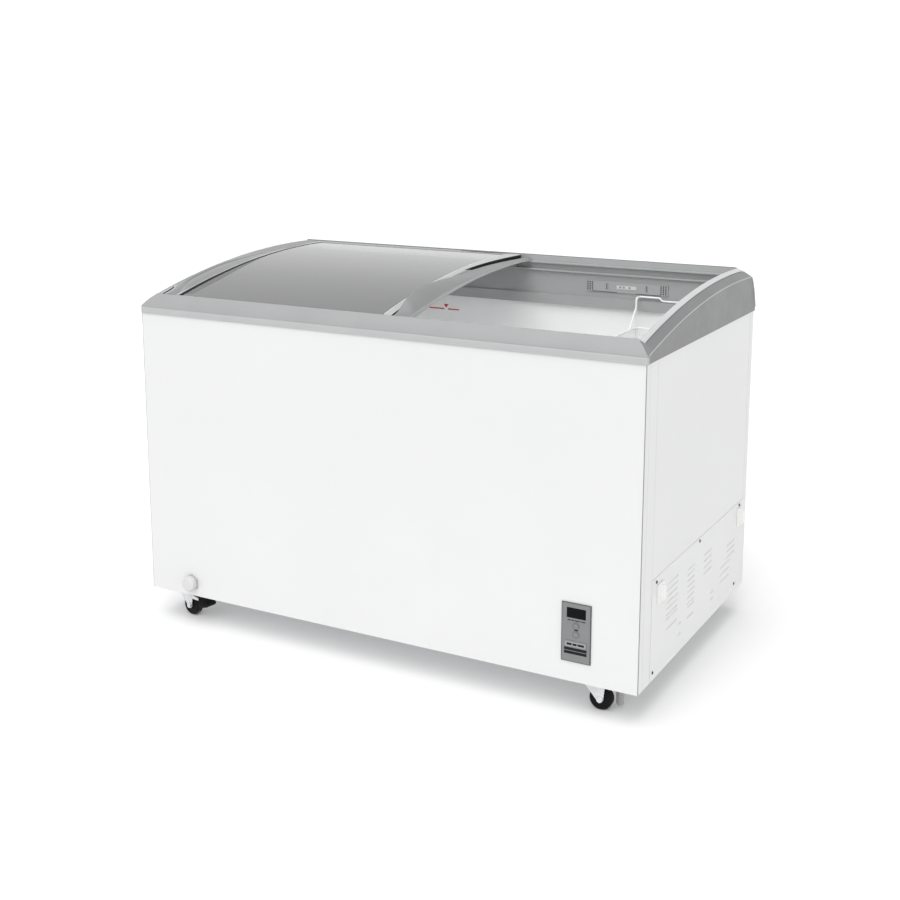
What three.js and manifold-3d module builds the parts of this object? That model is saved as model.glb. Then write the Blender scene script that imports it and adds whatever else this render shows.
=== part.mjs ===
// Glass-topped display chest freezer, built as separate pieces.
// Millimetres, +Z up. x runs left to right, the front faces -Y, z = 0 is the floor under the casters.
import * as THREE from 'three';
import Module from 'manifold-3d';
import { mergeVertices } from 'three/addons/utils/BufferGeometryUtils.js';

const wasm = await Module();
wasm.setup();

// Driving dimensions
const GAP = 0.3;              // clearance kept between pieces that touch
const WIDTH = 1244;           // sheet cabinet, outside
const DEPTH = 712;
const CABINET_BOTTOM = 70;
const CABINET_TOP = 744;
const SHEET = 1.5;
const RETURN = 66;            // the front sheet folds back this far along each side
const REAR_RETURN = 25;
const OVERHANG = 3;           // the plastic top frame stands this far outside the sheet
const ARC_TOP = 852;          // crown of the curved top
const ARC_CROWN_Y = 204;
const ARC_RADIUS = 2240;
const CAP_WIDTH = 29;         // each end cap of the top frame

const HALF_W = WIDTH / 2;
const HALF_D = DEPTH / 2;
const FRAME_X = HALF_W + OVERHANG;
const FRAME_FRONT = -HALF_D - OVERHANG;
const FRAME_REAR = HALF_D + 4;
const CAP_INNER = FRAME_X - CAP_WIDTH;

// Tub and machine compartment
const TUB = {
  x0: -567, x1: 567, y0: -301, y1: 285, floor: 130, stepX: 246, stepFloor: 410, top: 743, wall: 2,
};
const BAY = { x0: 268, top: 362 };   // machine compartment: right of x0, below top
const COIL_GAP = 12;                 // room between tub and foam for the evaporator tube

// Lids
const LID_FRONT = -327;
const LID_REAR = 281;
const LID_THICK = 13;
const LOWER_DROP = 19;        // the right lid runs this far below the left one
const LOWER_THICK = 11;
const GLASS = 4;

// Colours
const WHITE = 0xf4f5f5;
const FRAME_GREY = 0xa9abac;
const DARK_GREY = 0x8f9192;
const PANEL_GREY = 0x8a8c8e;
const BLACK = 0x161718;
const ZINC = 0xc9cccf;
const GLASS_TINT = 0xb9c1c3;
const COPPER = 0xb87345;

const model = new THREE.Group();

function finish(color, roughness, metalness = 0) {
  return new THREE.MeshStandardMaterial({ color, roughness, metalness });
}

function place(name, geometry, material) {
  const mesh = new THREE.Mesh(geometry, material);
  mesh.name = name;
  model.add(mesh);
  return mesh;
}

// Solid helpers
function toSolid(geometry) {
  const bare = geometry.index ? geometry.clone() : geometry;
  bare.deleteAttribute('normal');
  bare.deleteAttribute('uv');
  const merged = mergeVertices(bare, 1e-4);
  return new wasm.Manifold(new wasm.Mesh({
    numProp: 3,
    vertProperties: new Float32Array(merged.attributes.position.array),
    triVerts: new Uint32Array(merged.index.array),
  }));
}

function toGeometry(solid) {
  const mesh = solid.getMesh();
  const geometry = new THREE.BufferGeometry();
  geometry.setAttribute('position', new THREE.BufferAttribute(new Float32Array(mesh.vertProperties), 3));
  geometry.setIndex(new THREE.BufferAttribute(new Uint32Array(mesh.triVerts), 1));
  geometry.computeVertexNormals();
  return geometry;
}

function join(...geometries) {
  return toGeometry(geometries.map(toSolid).reduce((a, b) => a.add(b)));
}

function cut(geometry, ...tools) {
  return toGeometry(tools.map(toSolid).reduce((a, b) => a.subtract(b), toSolid(geometry)));
}

function box(x0, x1, y0, y1, z0, z1) {
  const geometry = new THREE.BoxGeometry(x1 - x0, y1 - y0, z1 - z0);
  return geometry.translate((x0 + x1) / 2, (y0 + y1) / 2, (z0 + z1) / 2);
}

function outline(points) {
  return new THREE.Shape(points.map(([a, b]) => new THREE.Vector2(a, b)));
}

// A flat outline in two axes, pushed along the third.
function extrude(points, from, to, basis) {
  const geometry = new THREE.ExtrudeGeometry(outline(points), { depth: to - from, bevelEnabled: false });
  geometry.translate(0, 0, from);
  return geometry.applyMatrix4(basis);
}

const axes = (a, b, c) => new THREE.Matrix4().makeBasis(a, b, c);
const UNIT_X = new THREE.Vector3(1, 0, 0);
const UNIT_Y = new THREE.Vector3(0, 1, 0);
const UNIT_Z = new THREE.Vector3(0, 0, 1);

const alongX = (yz, x0, x1) => extrude(yz, x0, x1, axes(UNIT_Y, UNIT_Z, UNIT_X));
const alongY = (zx, y0, y1) => extrude(zx, y0, y1, axes(UNIT_Z, UNIT_X, UNIT_Y));
const alongZ = (xy, z0, z1) => extrude(xy, z0, z1, axes(UNIT_X, UNIT_Y, UNIT_Z));

function rod(axis, radius, from, to, centre, sides = 24) {
  const geometry = new THREE.CylinderGeometry(radius, radius, to - from, sides);
  geometry.translate(0, (from + to) / 2, 0);
  if (axis === 'x') geometry.rotateZ(-Math.PI / 2);
  if (axis === 'z') geometry.rotateX(Math.PI / 2);
  return geometry.translate(...centre);
}

// A round wire through straight stretches, mitred at each corner.
function wire(points, radius, sides = 8) {
  const path = points.map((p) => new THREE.Vector3(...p));
  const along = path.slice(1).map((p, i) => p.clone().sub(path[i]).normalize());
  const start = Math.abs(along[0].z) > 0.9 ? UNIT_X : UNIT_Z;
  let across = new THREE.Vector3().crossVectors(along[0], start).normalize();
  const rings = path.map((p, i) => {
    const before = along[Math.max(0, i - 1)];
    const after = along[Math.min(along.length - 1, i)];
    const up = new THREE.Vector3().crossVectors(before, across).normalize();
    const plane = before.clone().add(after).normalize();
    const ring = stations(0, 1, sides).slice(0, -1).map((t) => {
      const angle = t * Math.PI * 2;
      const spoke = across.clone().multiplyScalar(Math.cos(angle) * radius);
      spoke.addScaledVector(up, Math.sin(angle) * radius);
      const slide = -spoke.dot(plane) / before.dot(plane);
      return p.clone().add(spoke).addScaledVector(before, slide).toArray();
    });
    const turn = new THREE.Quaternion().setFromUnitVectors(before, after);
    across = across.applyQuaternion(turn);
    return ring;
  });
  return tubeBody(rings);
}

// A round tube along a smooth curve.
function sweep(curve, radius, steps, sides = 8) {
  return wire(curve.getPoints(steps).map((p) => p.toArray()), radius, sides);
}

function skin(rings) {
  const count = rings[0].length;
  const index = [];
  for (let r = 0; r + 1 < rings.length; r += 1) {
    for (let i = 0; i < count; i += 1) {
      const j = (i + 1) % count;
      const a = r * count + i;
      const b = r * count + j;
      index.push(a, b, b + count, a, b + count, a + count);
    }
  }
  return index;
}

function indexed(rings, index) {
  const geometry = new THREE.BufferGeometry();
  geometry.setAttribute('position', new THREE.BufferAttribute(new Float32Array(rings.flat(2)), 3));
  geometry.setIndex(index);
  geometry.computeVertexNormals();
  return geometry;
}

function tubeBody(rings) {
  const index = skin(rings);
  const last = (rings.length - 1) * rings[0].length;
  for (let i = 1; i + 1 < rings[0].length; i += 1) {
    index.push(0, i + 1, i);
    index.push(last, last + i, last + i + 1);
  }
  return indexed(rings, index);
}

// Closed body through a list of rings that all have the same number of points.
function loft(rings, capAxes) {
  const index = skin(rings);
  const capOf = (ring) => ring.map((p) => new THREE.Vector2(p[capAxes[0]], p[capAxes[1]]));
  const last = (rings.length - 1) * rings[0].length;
  for (const [a, b, c] of THREE.ShapeUtils.triangulateShape(capOf(rings[0]), [])) index.push(a, c, b);
  for (const [a, b, c] of THREE.ShapeUtils.triangulateShape(capOf(rings[rings.length - 1]), [])) {
    index.push(last + a, last + b, last + c);
  }
  return indexed(rings, index);
}

// Height of the curved top at a depth y.
function arc(y) {
  return ARC_TOP - ARC_RADIUS + Math.sqrt(ARC_RADIUS ** 2 - (y - ARC_CROWN_Y) ** 2);
}

function stations(from, to, count) {
  return Array.from({ length: count + 1 }, (_, i) => from + ((to - from) * i) / count);
}

// A slab that follows the curved top between two depths, at constant drops below it.
function curvedSlab(x0, x1, y0, y1, drop, thick, count = 12) {
  const depths = stations(y0, y1, count);
  const lower = depths.map((y) => [y, arc(y) - drop - thick]);
  const upper = depths.map((y) => [y, arc(y) - drop]).reverse();
  return alongX([...lower, ...upper], x0, x1);
}

// ---------------------------------------------------------------- cabinet sheets
function frontPanel() {
  const back = -HALF_D + RETURN;
  const outer = HALF_W;
  const inner = HALF_W - SHEET;
  const sheet = alongZ([
    [-outer, -HALF_D], [outer, -HALF_D], [outer, back], [inner, back],
    [inner, -HALF_D + SHEET], [-inner, -HALF_D + SHEET], [-inner, back], [-outer, back],
  ], CABINET_BOTTOM, CABINET_TOP - GAP);
  const panelHole = box(PANEL.x0 + 4, PANEL.x1 - 4, -HALF_D - 5, -HALF_D + 5, PANEL.z0 + 4, PANEL.z1 - 4);
  const drainHole = rod('y', 13, -HALF_D - 5, -HALF_D + 5, [DRAIN.x, 0, DRAIN.z]);
  return cut(sheet, panelHole, drainHole);
}

function rearPanel() {
  const front = HALF_D - REAR_RETURN;
  const outer = HALF_W;
  const inner = HALF_W - SHEET;
  const sheet = alongZ([
    [-outer, front], [-inner, front], [-inner, HALF_D - SHEET], [inner, HALF_D - SHEET],
    [inner, front], [outer, front], [outer, HALF_D], [-outer, HALF_D],
  ], CABINET_BOTTOM, CABINET_TOP - GAP);
  return cut(sheet, rod('y', 10, HALF_D - 10, HALF_D + 10, [INLET.x, 0, INLET.z]));
}

function sidePanel(side, z0) {
  const inner = side * (HALF_W - SHEET);
  const outer = side * HALF_W;
  return box(Math.min(inner, outer), Math.max(inner, outer),
    -HALF_D + RETURN + GAP, HALF_D - REAR_RETURN - GAP, z0, CABINET_TOP - GAP);
}

const FOOT = { x: 557, y: -281, radius: 8.5, bottom: 6, top: 92 };

function basePlate() {
  const edge = HALF_W - SHEET - GAP;
  const [front, rear] = [-HALF_D + SHEET + GAP, HALF_D - SHEET - GAP];
  const plate = box(-edge, edge, front, rear, CABINET_BOTTOM, CABINET_BOTTOM + 2);
  const slots = [];
  for (const y of stations(-120, 120, 6)) {
    slots.push(box(330, 400, y - 4, y + 4, CABINET_BOTTOM - 5, CABINET_BOTTOM + 5));
  }
  const footHole = rod('z', FOOT.radius + 0.4, CABINET_BOTTOM - 5, CABINET_BOTTOM + 5, [FOOT.x, FOOT.y, 0]);
  return cut(plate, footHole, ...slots);
}

function foam() {
  const edge = HALF_W - SHEET - GAP;
  const bottom = CABINET_BOTTOM + 2 + GAP;
  const block = alongY([
    [bottom, -edge], [bottom, BAY.x0], [BAY.top, BAY.x0], [BAY.top, edge], [TUB.top - 2 - GAP, edge],
    [TUB.top - 2 - GAP, -edge],
  ], -HALF_D + SHEET + GAP, HALF_D - SHEET - GAP);
  const clear = TUB.wall + COIL_GAP;
  const tubRoom = tubBlock(clear, TUB.wall + GAP, TUB.top + 5);
  const drainRoom = drainTube(DRAIN.radius + GAP, 1);
  return cut(block, tubRoom, drainRoom);
}

// The stepped tub volume, grown outwards by side and downwards by below.
function tubBlock(side, below, top) {
  return alongY([
    [TUB.floor - below, TUB.x0 - side], [TUB.floor - below, TUB.stepX + below],
    [TUB.stepFloor - below, TUB.stepX + below], [TUB.stepFloor - below, TUB.x1 + side],
    [top, TUB.x1 + side], [top, TUB.x0 - side],
  ], TUB.y0 - side, TUB.y1 + side);
}

function innerLiner() {
  const shell = tubBlock(TUB.wall, TUB.wall, TUB.top);
  const flange = box(TUB.x0 - 20, TUB.x1 + 20, TUB.y0 - 20, TUB.y1 + 20, TUB.top - 2, TUB.top);
  const hollow = tubBlock(0, 0, TUB.top + 5);
  const drainHole = rod('z', 8, TUB.floor - 10, TUB.floor + 10, [DRAIN.x, DRAIN.floorY, 0]);
  return cut(join(shell, flange), hollow, drainHole);
}

function evaporatorTube() {
  const points = [];
  const off = TUB.wall + COIL_GAP / 2;
  const [x0, x1, y0, y1] = [TUB.x0 - off, TUB.x1 + off, TUB.y0 - off, TUB.y1 + off];
  const pitch = 48;
  const first = 470;
  for (let turn = 0; turn < 5; turn += 1) {
    const z = first + turn * pitch;
    points.push([x0, y0, z], [x1, y0, z + pitch * 0.3], [x1, y1, z + pitch * 0.5], [x0, y1, z + pitch * 0.8]);
  }
  return wire(points, 3.5, 6);
}

// ---------------------------------------------------------------- drain
const DRAIN = { x: -504, z: 102, floorY: -250, radius: 11 };

function drainTube(radius, extra) {
  const top = TUB.floor - TUB.wall - GAP + extra;
  const down = rod('z', radius, DRAIN.z - radius, top, [DRAIN.x, DRAIN.floorY, 0]);
  const out = rod('y', radius, -HALF_D + SHEET + GAP - extra, DRAIN.floorY, [DRAIN.x, 0, DRAIN.z]);
  return join(down, out);
}

function drainPipe() {
  const bore = DRAIN.radius - 2.5;
  const down = rod('z', bore, DRAIN.z, TUB.floor, [DRAIN.x, DRAIN.floorY, 0]);
  const out = rod('y', bore, -HALF_D - 5, DRAIN.floorY, [DRAIN.x, 0, DRAIN.z]);
  return cut(drainTube(DRAIN.radius, 0), down, out);
}

function drainSpout() {
  const hexBase = rod('y', 21, -HALF_D - 6, -HALF_D - GAP, [DRAIN.x, 0, DRAIN.z], 6);
  const nozzle = rod('y', 12, -HALF_D - 14, -HALF_D + 1, [DRAIN.x, 0, DRAIN.z]);
  return cut(join(hexBase, nozzle), rod('y', 8, -HALF_D - 20, -HALF_D + 5, [DRAIN.x, 0, DRAIN.z]));
}

function drainCap() {
  const front = -HALF_D - 18;
  const profile = [[0, 0], [14, 0], [17, 2], [18.5, 11.5], [12.6, 11.5], [12.6, 3.4], [0, 3.4]];
  const geometry = new THREE.LatheGeometry(profile.map(([r, h]) => new THREE.Vector2(r, h)), 28);
  return geometry.translate(DRAIN.x, front, DRAIN.z);
}

// ---------------------------------------------------------------- control panel
const PANEL = { x0: 456, x1: 520, z0: 114, z1: 240, proud: 2.5 };
const DISPLAY = { x0: 467, x1: 509, z0: 208, z1: 230 };
const BUTTON = { x: 488, up: 192, down: 174, radius: 5 };

function controlBezel() {
  const front = -HALF_D - PANEL.proud;
  const plate = box(PANEL.x0, PANEL.x1, front, -HALF_D - GAP, PANEL.z0, PANEL.z1);
  const inside = (inset, y0, y1) => (
    box(PANEL.x0 + inset, PANEL.x1 - inset, y0, y1, PANEL.z0 + inset, PANEL.z1 - inset));
  const tray = inside(4.5, -HALF_D - 1, -HALF_D + 22);
  const hollow = inside(6.5, -HALF_D + 1, -HALF_D + 30);
  const pocket = (area, depth) => box(area.x0, area.x1, front - 1, front + depth, area.z0, area.z1);
  const hole = (z) => rod('y', BUTTON.radius + 0.4, front - 2, -HALF_D + 5, [BUTTON.x, 0, z]);
  return cut(join(plate, tray), hollow, pocket(DISPLAY, 1.5), hole(BUTTON.up), hole(BUTTON.down));
}

function panelInset(area, depth, thick) {
  const front = -HALF_D - PANEL.proud + depth - thick - 0.1;
  return box(area.x0 + GAP, area.x1 - GAP, front, front + thick, area.z0 + GAP, area.z1 - GAP);
}

function panelButton(z) {
  const front = -HALF_D - PANEL.proud - 0.8;
  const stem = rod('y', BUTTON.radius, front, -HALF_D + 2.2, [BUTTON.x, 0, z]);
  const collar = rod('y', BUTTON.radius + 1.5, -HALF_D + 1.4, -HALF_D + 3, [BUTTON.x, 0, z]);
  return join(stem, collar);
}

function controlBoard() {
  const y = -HALF_D + 8;
  return box(PANEL.x0 + 8, PANEL.x1 - 8, y, y + 1.6, PANEL.z0 + 8, PANEL.z1 - 8);
}

// ---------------------------------------------------------------- top frame
// Outline of the front edge in y and z, from the outside bottom over the slope.
const FRONT_EDGE = [
  [FRAME_FRONT, CABINET_TOP], [FRAME_FRONT, 757], [FRAME_FRONT + 1.5, 758.5], [FRAME_FRONT + 12, 773],
  [FRAME_FRONT + 24, 786], [-330.5, 788.6],
];
// Outline of the rear edge, from the crest down the chamfer to the outside bottom.
const REAR_EDGE = [
  [285.5, 852.5], [293, 852], [306, 844], [326, 826], [347, 798], [FRAME_REAR - 3, 766],
  [FRAME_REAR, 752], [FRAME_REAR, CABINET_TOP],
];

// The rails run between the end caps; their skirts reach down inside the tub.
const SKIRT_BOTTOM = 734;

function rail(profile, skirt) {
  const bar = alongX(profile.reverse(), -CAP_INNER + GAP, CAP_INNER - GAP);
  return join(bar, box(TUB.x0 + 0.5, TUB.x1 - 0.5, skirt[0], skirt[1], SKIRT_BOTTOM, CABINET_TOP + 1));
}

function frontRail() {
  const upperFloor = 774.6;
  const lowerRoof = 772.4;
  const lowerFloor = 757.5;
  const ledge = 755;
  return rail([
    ...FRONT_EDGE,
    [-330.5, upperFloor], [-319, upperFloor], [-319, lowerRoof], [-330.5, lowerRoof], [-330.5, lowerFloor],
    [-317, lowerFloor], [-317, ledge], [-305, ledge], [-297, 750], [-297, CABINET_TOP],
  ], [-300.5, -297]);
}

function rearRail() {
  const upperFloor = 836.5;
  const lowerRoof = 834.2;
  const lowerFloor = 819.5;
  const inner = 284.5;
  const face = 272;
  return rail([
    ...REAR_EDGE,
    [face, CABINET_TOP], [face, 759], [face + 8, 759], [face + 8, lowerFloor - 4],
    [face, lowerFloor - 4], [face, lowerFloor], [inner, lowerFloor], [inner, lowerRoof], [face, lowerRoof],
    [face, upperFloor], [inner, upperFloor], [inner, 851.5],
  ], [face, inner]);
}

// Height of the front and rear edges at depth y; over the lids it is the curved top.
function edgeTop(y) {
  const edge = [...FRONT_EDGE.slice(1), ...stations(-320, 280, 20).map((s) => [s, arc(s)]), ...REAR_EDGE];
  for (let i = 1; i < edge.length; i += 1) {
    const [y0, z0] = edge[i - 1];
    const [y1, z1] = edge[i];
    if (y <= y1 && y1 > y0) return z0 + ((z1 - z0) * (y - y0)) / (y1 - y0);
  }
  return CABINET_TOP + 8;
}

// Across an end cap, outwards from the lids: a sloping strip, a steeper shoulder and a ridge.
const SHOULDER = [[0, 0], [11.5, 5.6], [18, 11], [25, 17.2], [CAP_WIDTH, 20.5]];
const RIDGE_PROUD = 1.2;
const CORNER = 6;

function endCap(side) {
  const outside = (y) => {
    const into = Math.max(0, FRAME_FRONT + CORNER - y);
    return FRAME_X - CORNER + Math.sqrt(Math.max(0, CORNER ** 2 - into ** 2));
  };
  const depths = [
    ...stations(0, 1, 3).map((t) => FRAME_FRONT + CORNER * (1 - Math.cos((t * Math.PI) / 2))),
    FRAME_FRONT + 12, FRAME_FRONT + 18, FRAME_FRONT + 24, ...stations(-330, 282, 18),
    ...REAR_EDGE.slice(1, -1).map(([y]) => y),
  ];
  const ring = (y) => {
    const out = outside(y);
    const edge = edgeTop(y + 0.001);
    const top = SHOULDER.map(([offset, drop]) => [
      CAP_INNER + (offset * (out - CAP_INNER)) / CAP_WIDTH, Math.min(edge, arc(y) - drop),
    ]).reverse();
    const section = [
      [CAP_INNER, CABINET_TOP], [out - RIDGE_PROUD, CABINET_TOP],
      [out - RIDGE_PROUD, top[0][1] - RIDGE_PROUD], ...top,
    ];
    return section.map(([x, z]) => [side * x, y, z]);
  };
  const rings = depths.map(ring);
  return loft(side > 0 ? rings.map((r) => r.reverse()) : rings, [2, 0]);
}

function thermometerHousing() {
  const plate = box(230, 437, 277, 280 - GAP, 774, 800);
  const pocket = box(THERMO.x0, THERMO.x1, 270, 278.4, THERMO.z0, THERMO.z1);
  const vents = [];
  for (const x of [...stations(233, 245, 2), ...stations(420, 432, 2)]) {
    for (const z of stations(778, 796, 4)) vents.push(box(x - 1.5, x + 1.5, 270, 278.6, z - 1.2, z + 1.2));
  }
  return cut(plate, pocket, ...vents);
}

const THERMO = { x0: 307, x1: 358, z0: 783, z1: 792 };

function thermometerWindow() {
  return box(THERMO.x0 + GAP, THERMO.x1 - GAP, 276.9, 278.1, THERMO.z0 + GAP, THERMO.z1 - GAP);
}

// ---------------------------------------------------------------- lids
const ease = (t) => {
  const c = Math.min(1, Math.max(0, t));
  return c * c * (3 - 2 * c);
};

// A grip is a raised leaf that starts in a point at the front and dies out towards the rear.
const LEAF_HEIGHT = 18;
const SLOT_DEPTH = 9;

function leafHeight(y, end) {
  return LEAF_HEIGHT * ease((y + 322) / 50) * (1 - ease((y + 220) / (end + 220)));
}

function lidGrip(x0, section) {
  const ring = (y) => section(y).map(([x, z]) => [x0 + x, y, arc(y) + z]);
  return loft(stations(LID_FRONT, LID_REAR, 30).map(ring), [2, 0]);
}

// Grip at the left lid's outer end: the leaf's steep face looks at the glass, a rim widens behind it.
function outerGripSection(y) {
  const h = leafHeight(y, 110);
  const leaf0 = 21 - 16 * ease((y + 305) / 45);
  const leaf1 = 51 - 11 * ease((y - 60) / 200);
  const front = SLOT_DEPTH * (1 - ease((y + 300) / 25));
  const rear = SLOT_DEPTH * ease((y - 90) / 60);
  return [
    [0, -LID_THICK], [0, -1.5], [1, 0], [leaf0 * 0.38, 0], [leaf0 * 0.42, -front], [leaf0 * 0.66, -front],
    [leaf0 * 0.7, 0], [leaf0, 0.2], [leaf0 + 14, h * 0.55], [leaf1 - 5, h], [leaf1 - 2, h * 0.97],
    [leaf1 - 1, h * 0.5 - 0.5], [leaf1, -0.6 - rear], [leaf1 + 2, -0.6 - rear], [leaf1 + 2.6, -0.4],
    [54.5, -0.4], [55, -1.5], [55, -LID_THICK],
  ];
}

// Grip at the left lid's inner end: a rim by the glass, a slot, then the leaf falls to a thin edge.
function innerGripSection(y) {
  const h = leafHeight(y, 0);
  const drop = 3 + (8.5 * (y - LID_FRONT)) / (LID_REAR - LID_FRONT);
  const leaf0 = 25 - 5 * ease((y + 300) / 60) + 22 * ease((y + 10) / 270);
  const floor = -0.5 - SLOT_DEPTH * Math.max(1 - ease((y + 300) / 40), ease((y - 5) / 60));
  const sunk = (1 - h / LEAF_HEIGHT) * ease((y + 250) / 300) * drop;
  const crest = leaf0 + 8;
  const top = h * 0.96 - sunk * 0.65;
  const fall = (t) => [crest + (60 - crest) * t, top - (drop + top) * (0.6 * t + 0.4 * t * t)];
  return [
    [0, -LID_THICK], [0, -1.5], [1, -0.3], [leaf0 * 0.5, 0], [leaf0 * 0.78, -0.3], [leaf0 * 0.8, floor],
    [leaf0 - 0.6, floor], [leaf0, h * 0.3 - 1 - sunk * 0.6], [leaf0 + 3, h * 0.9 - 0.3 - sunk * 0.6],
    [leaf0 + 6, h - sunk * 0.6], fall(0), fall(0.4), fall(0.75), fall(1),
    [61.7, -drop - 1.2], [61.7, -LID_THICK],
  ];
}

const LEFT_LID = { x0: -592, x1: 80, glass0: -536.7, glass1: 18 };
const RIGHT_LID = { x0: -592, x1: 40, rim: 18 };

function leftLid() {
  const glassRear = LID_REAR - 20;
  const plastic = () => finish(FRAME_GREY, 0.5);
  place('left_lid_glass', curvedSlab(LEFT_LID.glass0, LEFT_LID.glass1, LID_FRONT, glassRear, 1.5, GLASS),
    finish(GLASS_TINT, 0.06));
  place('left_lid_outer_grip', lidGrip(LEFT_LID.x0, outerGripSection), plastic());
  place('left_lid_inner_grip', lidGrip(LEFT_LID.glass1 + GAP, innerGripSection), plastic());
  const under = 1.5 + GLASS + GAP;
  place('left_lid_front_trim', curvedSlab(LEFT_LID.glass0, LEFT_LID.glass1, LID_FRONT, LID_FRONT + 11, under,
    LID_THICK - under, 1), plastic());
  place('left_lid_rear_trim', curvedSlab(LEFT_LID.glass0, LEFT_LID.glass1, glassRear + GAP, LID_REAR, 0,
    LID_THICK, 2), plastic());
}

function rightLid() {
  const inner0 = RIGHT_LID.x0 + RIGHT_LID.rim;
  const inner1 = RIGHT_LID.x1 - RIGHT_LID.rim;
  const glassRear = LID_REAR - 20;
  const drop = LOWER_DROP + 1.5;
  const pane = curvedSlab(inner0 + GAP, inner1 - GAP, LID_FRONT + GAP, glassRear - GAP, drop, GLASS);
  place('right_lid_glass', pane, finish(GLASS_TINT, 0.06));
  const outer = curvedSlab(RIGHT_LID.x0, RIGHT_LID.x1, LID_FRONT, LID_REAR, LOWER_DROP, LOWER_THICK);
  const opening = curvedSlab(inner0, inner1, LID_FRONT + 11, glassRear, LOWER_DROP - 5, LOWER_THICK + 10);
  const seatDeep = 5 + 1.5 + GLASS + GAP;
  const seat = curvedSlab(inner0, inner1, LID_FRONT - 5, glassRear, LOWER_DROP - 5, seatDeep, 20);
  place('right_lid_frame', cut(outer, opening, seat), finish(FRAME_GREY, 0.5));
}

// ---------------------------------------------------------------- basket
const BASKET = { x0: 366, x1: 556, y0: -285, y1: 254, z0: 500, rim: 700, wall: 2.5 };

function basket() {
  const { x0, x1, y0, y1, z0, rim, wall } = BASKET;
  const shell = box(x0, x1, y0, y1, z0, rim);
  const hollow = box(x0 + wall, x1 - wall, y0 + wall, y1 - wall, z0 + wall, rim + 5);
  const hanger = (wallY, outY, ledgeZ, raise) => {
    const left = x0 + 2;
    const right = x1 - 2;
    return wire([
      [left, wallY, rim - 8], [left, wallY, ledgeZ + raise], [left, outY, ledgeZ + raise],
      [left + 50, outY, ledgeZ + raise], [left + 56, outY, ledgeZ], [right, outY, ledgeZ],
      [right, wallY, ledgeZ], [right, wallY, rim - 8],
    ], 2.5, 8);
  };
  return join(cut(shell, hollow), hanger(y1 - 1.5, 275, 762, 7), hanger(y0 + 1.5, -309, 758, 0));
}

// ---------------------------------------------------------------- machine compartment
const SLOT_TALL = 4;
const COVER = { y0: -HALF_D + RETURN + GAP, y1: HALF_D - REAR_RETURN - GAP, z0: 71, z1: 290 };

function coverSlots() {
  // Each group: y from, y to, z from, z to.
  const groups = [
    [-200, -132, 182, 254], [-67, -21, 160, 243], [43, 98, 192, 241], [166, 237, 129, 169],
    [-67, -21, 127, 156], [-200, -132, 150, 178], [213, 273, 176, 209], [98, 120, 112, 133],
    [-123, -103, 109, 139],
  ];
  const pitch = 11;
  const tools = [];
  for (const [y0, y1, z0, z1] of groups) {
    const rows = Math.max(2, Math.floor((z1 - z0) / pitch));
    for (const z of stations(z0 + 2.5, z1 - 2.5, rows - 1)) {
      tools.push(box(HALF_W - 20, HALF_W + 20, y0, y1, z - SLOT_TALL / 2, z + SLOT_TALL / 2));
    }
  }
  return tools;
}

function ventCover() {
  const plate = box(HALF_W - SHEET, HALF_W + 1, COVER.y0, COVER.y1, COVER.z0, COVER.z1 - GAP);
  return cut(plate, ...coverSlots());
}

function coverClip(y0, y1, z0, z1) {
  const x0 = HALF_W + 1 + GAP;
  const width = y1 - y0;
  const base = box(x0, x0 + 4, y0, y1, z0, z1);
  const hook = box(x0, x0 + 11, y0 + width * 0.3, y0 + width * 0.7, z0 + 6, z1 - 6);
  return join(base, hook);
}

const COMPRESSOR = { x: 372, y: 190, base: CABINET_BOTTOM + 2 + GAP };

function compressor() {
  const r = 78;
  const profile = [[0, 18], [60, 18], [r, 34], [r, 130], [66, 158], [36, 172], [0, 176]];
  const pot = new THREE.LatheGeometry(profile.map(([a, b]) => new THREE.Vector2(a, b)), 24);
  pot.rotateX(Math.PI / 2);
  pot.translate(COMPRESSOR.x, COMPRESSOR.y, COMPRESSOR.base);
  const z = COMPRESSOR.base;
  const block = (x0, x1, half, z0, z1) => (
    box(COMPRESSOR.x + x0, COMPRESSOR.x + x1, COMPRESSOR.y - half, COMPRESSOR.y + half, z + z0, z + z1));
  const foot = block(-88, 88, 60, 16, 20);
  const mounts = [[-76, -48], [76, -48], [-76, 48], [76, 48]].map(([dx, dy]) => (
    rod('z', 9, z, z + 17, [COMPRESSOR.x + dx, COMPRESSOR.y + dy, 0], 12)));
  const terminals = block(60, r + 30, 26, 60, 120);
  return join(pot, foot, terminals, ...mounts);
}

const CONDENSER = { x0: 420, x1: 560, y0: -130, y1: -64, z0: CABINET_BOTTOM + 2 + GAP, z1: 290 };

function condenserFins() {
  const { x0, x1, y0, y1, z0, z1 } = CONDENSER;
  const block = box(x0, x1, y0, y1, z0, z1);
  const groove = (x) => box(x - 1.6, x + 1.6, y0 - 1, y0 + 12, z0 + 8, z1 - 8);
  const grooves = stations(x0 + 10, x1 - 10, 12).map(groove);
  return cut(block, ...grooves);
}

const FAN = { x: 490, y: -30, z: 182, radius: 60 };

function fanShroud() {
  const { x0, x1, y1, z0, z1 } = CONDENSER;
  const plate = box(x0, x1, y1 + GAP, FAN.y + 14, z0, z1);
  return cut(plate, rod('y', FAN.radius + 4, y1 - 5, FAN.y + 30, [FAN.x, 0, FAN.z], 36));
}

function fanBlades() {
  const hub = rod('y', 16, FAN.y - 10, FAN.y + 8, [FAN.x, 0, FAN.z], 20);
  const blades = stations(0, 4, 4).map((i) => {
    const blade = new THREE.BoxGeometry(44, 1.6, 30);
    blade.rotateX(0.5);
    blade.translate(36, 0, 0);
    blade.rotateY((i * Math.PI * 2) / 5);
    return blade.translate(FAN.x, FAN.y - 1, FAN.z);
  });
  return join(hub, ...blades);
}

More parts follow.
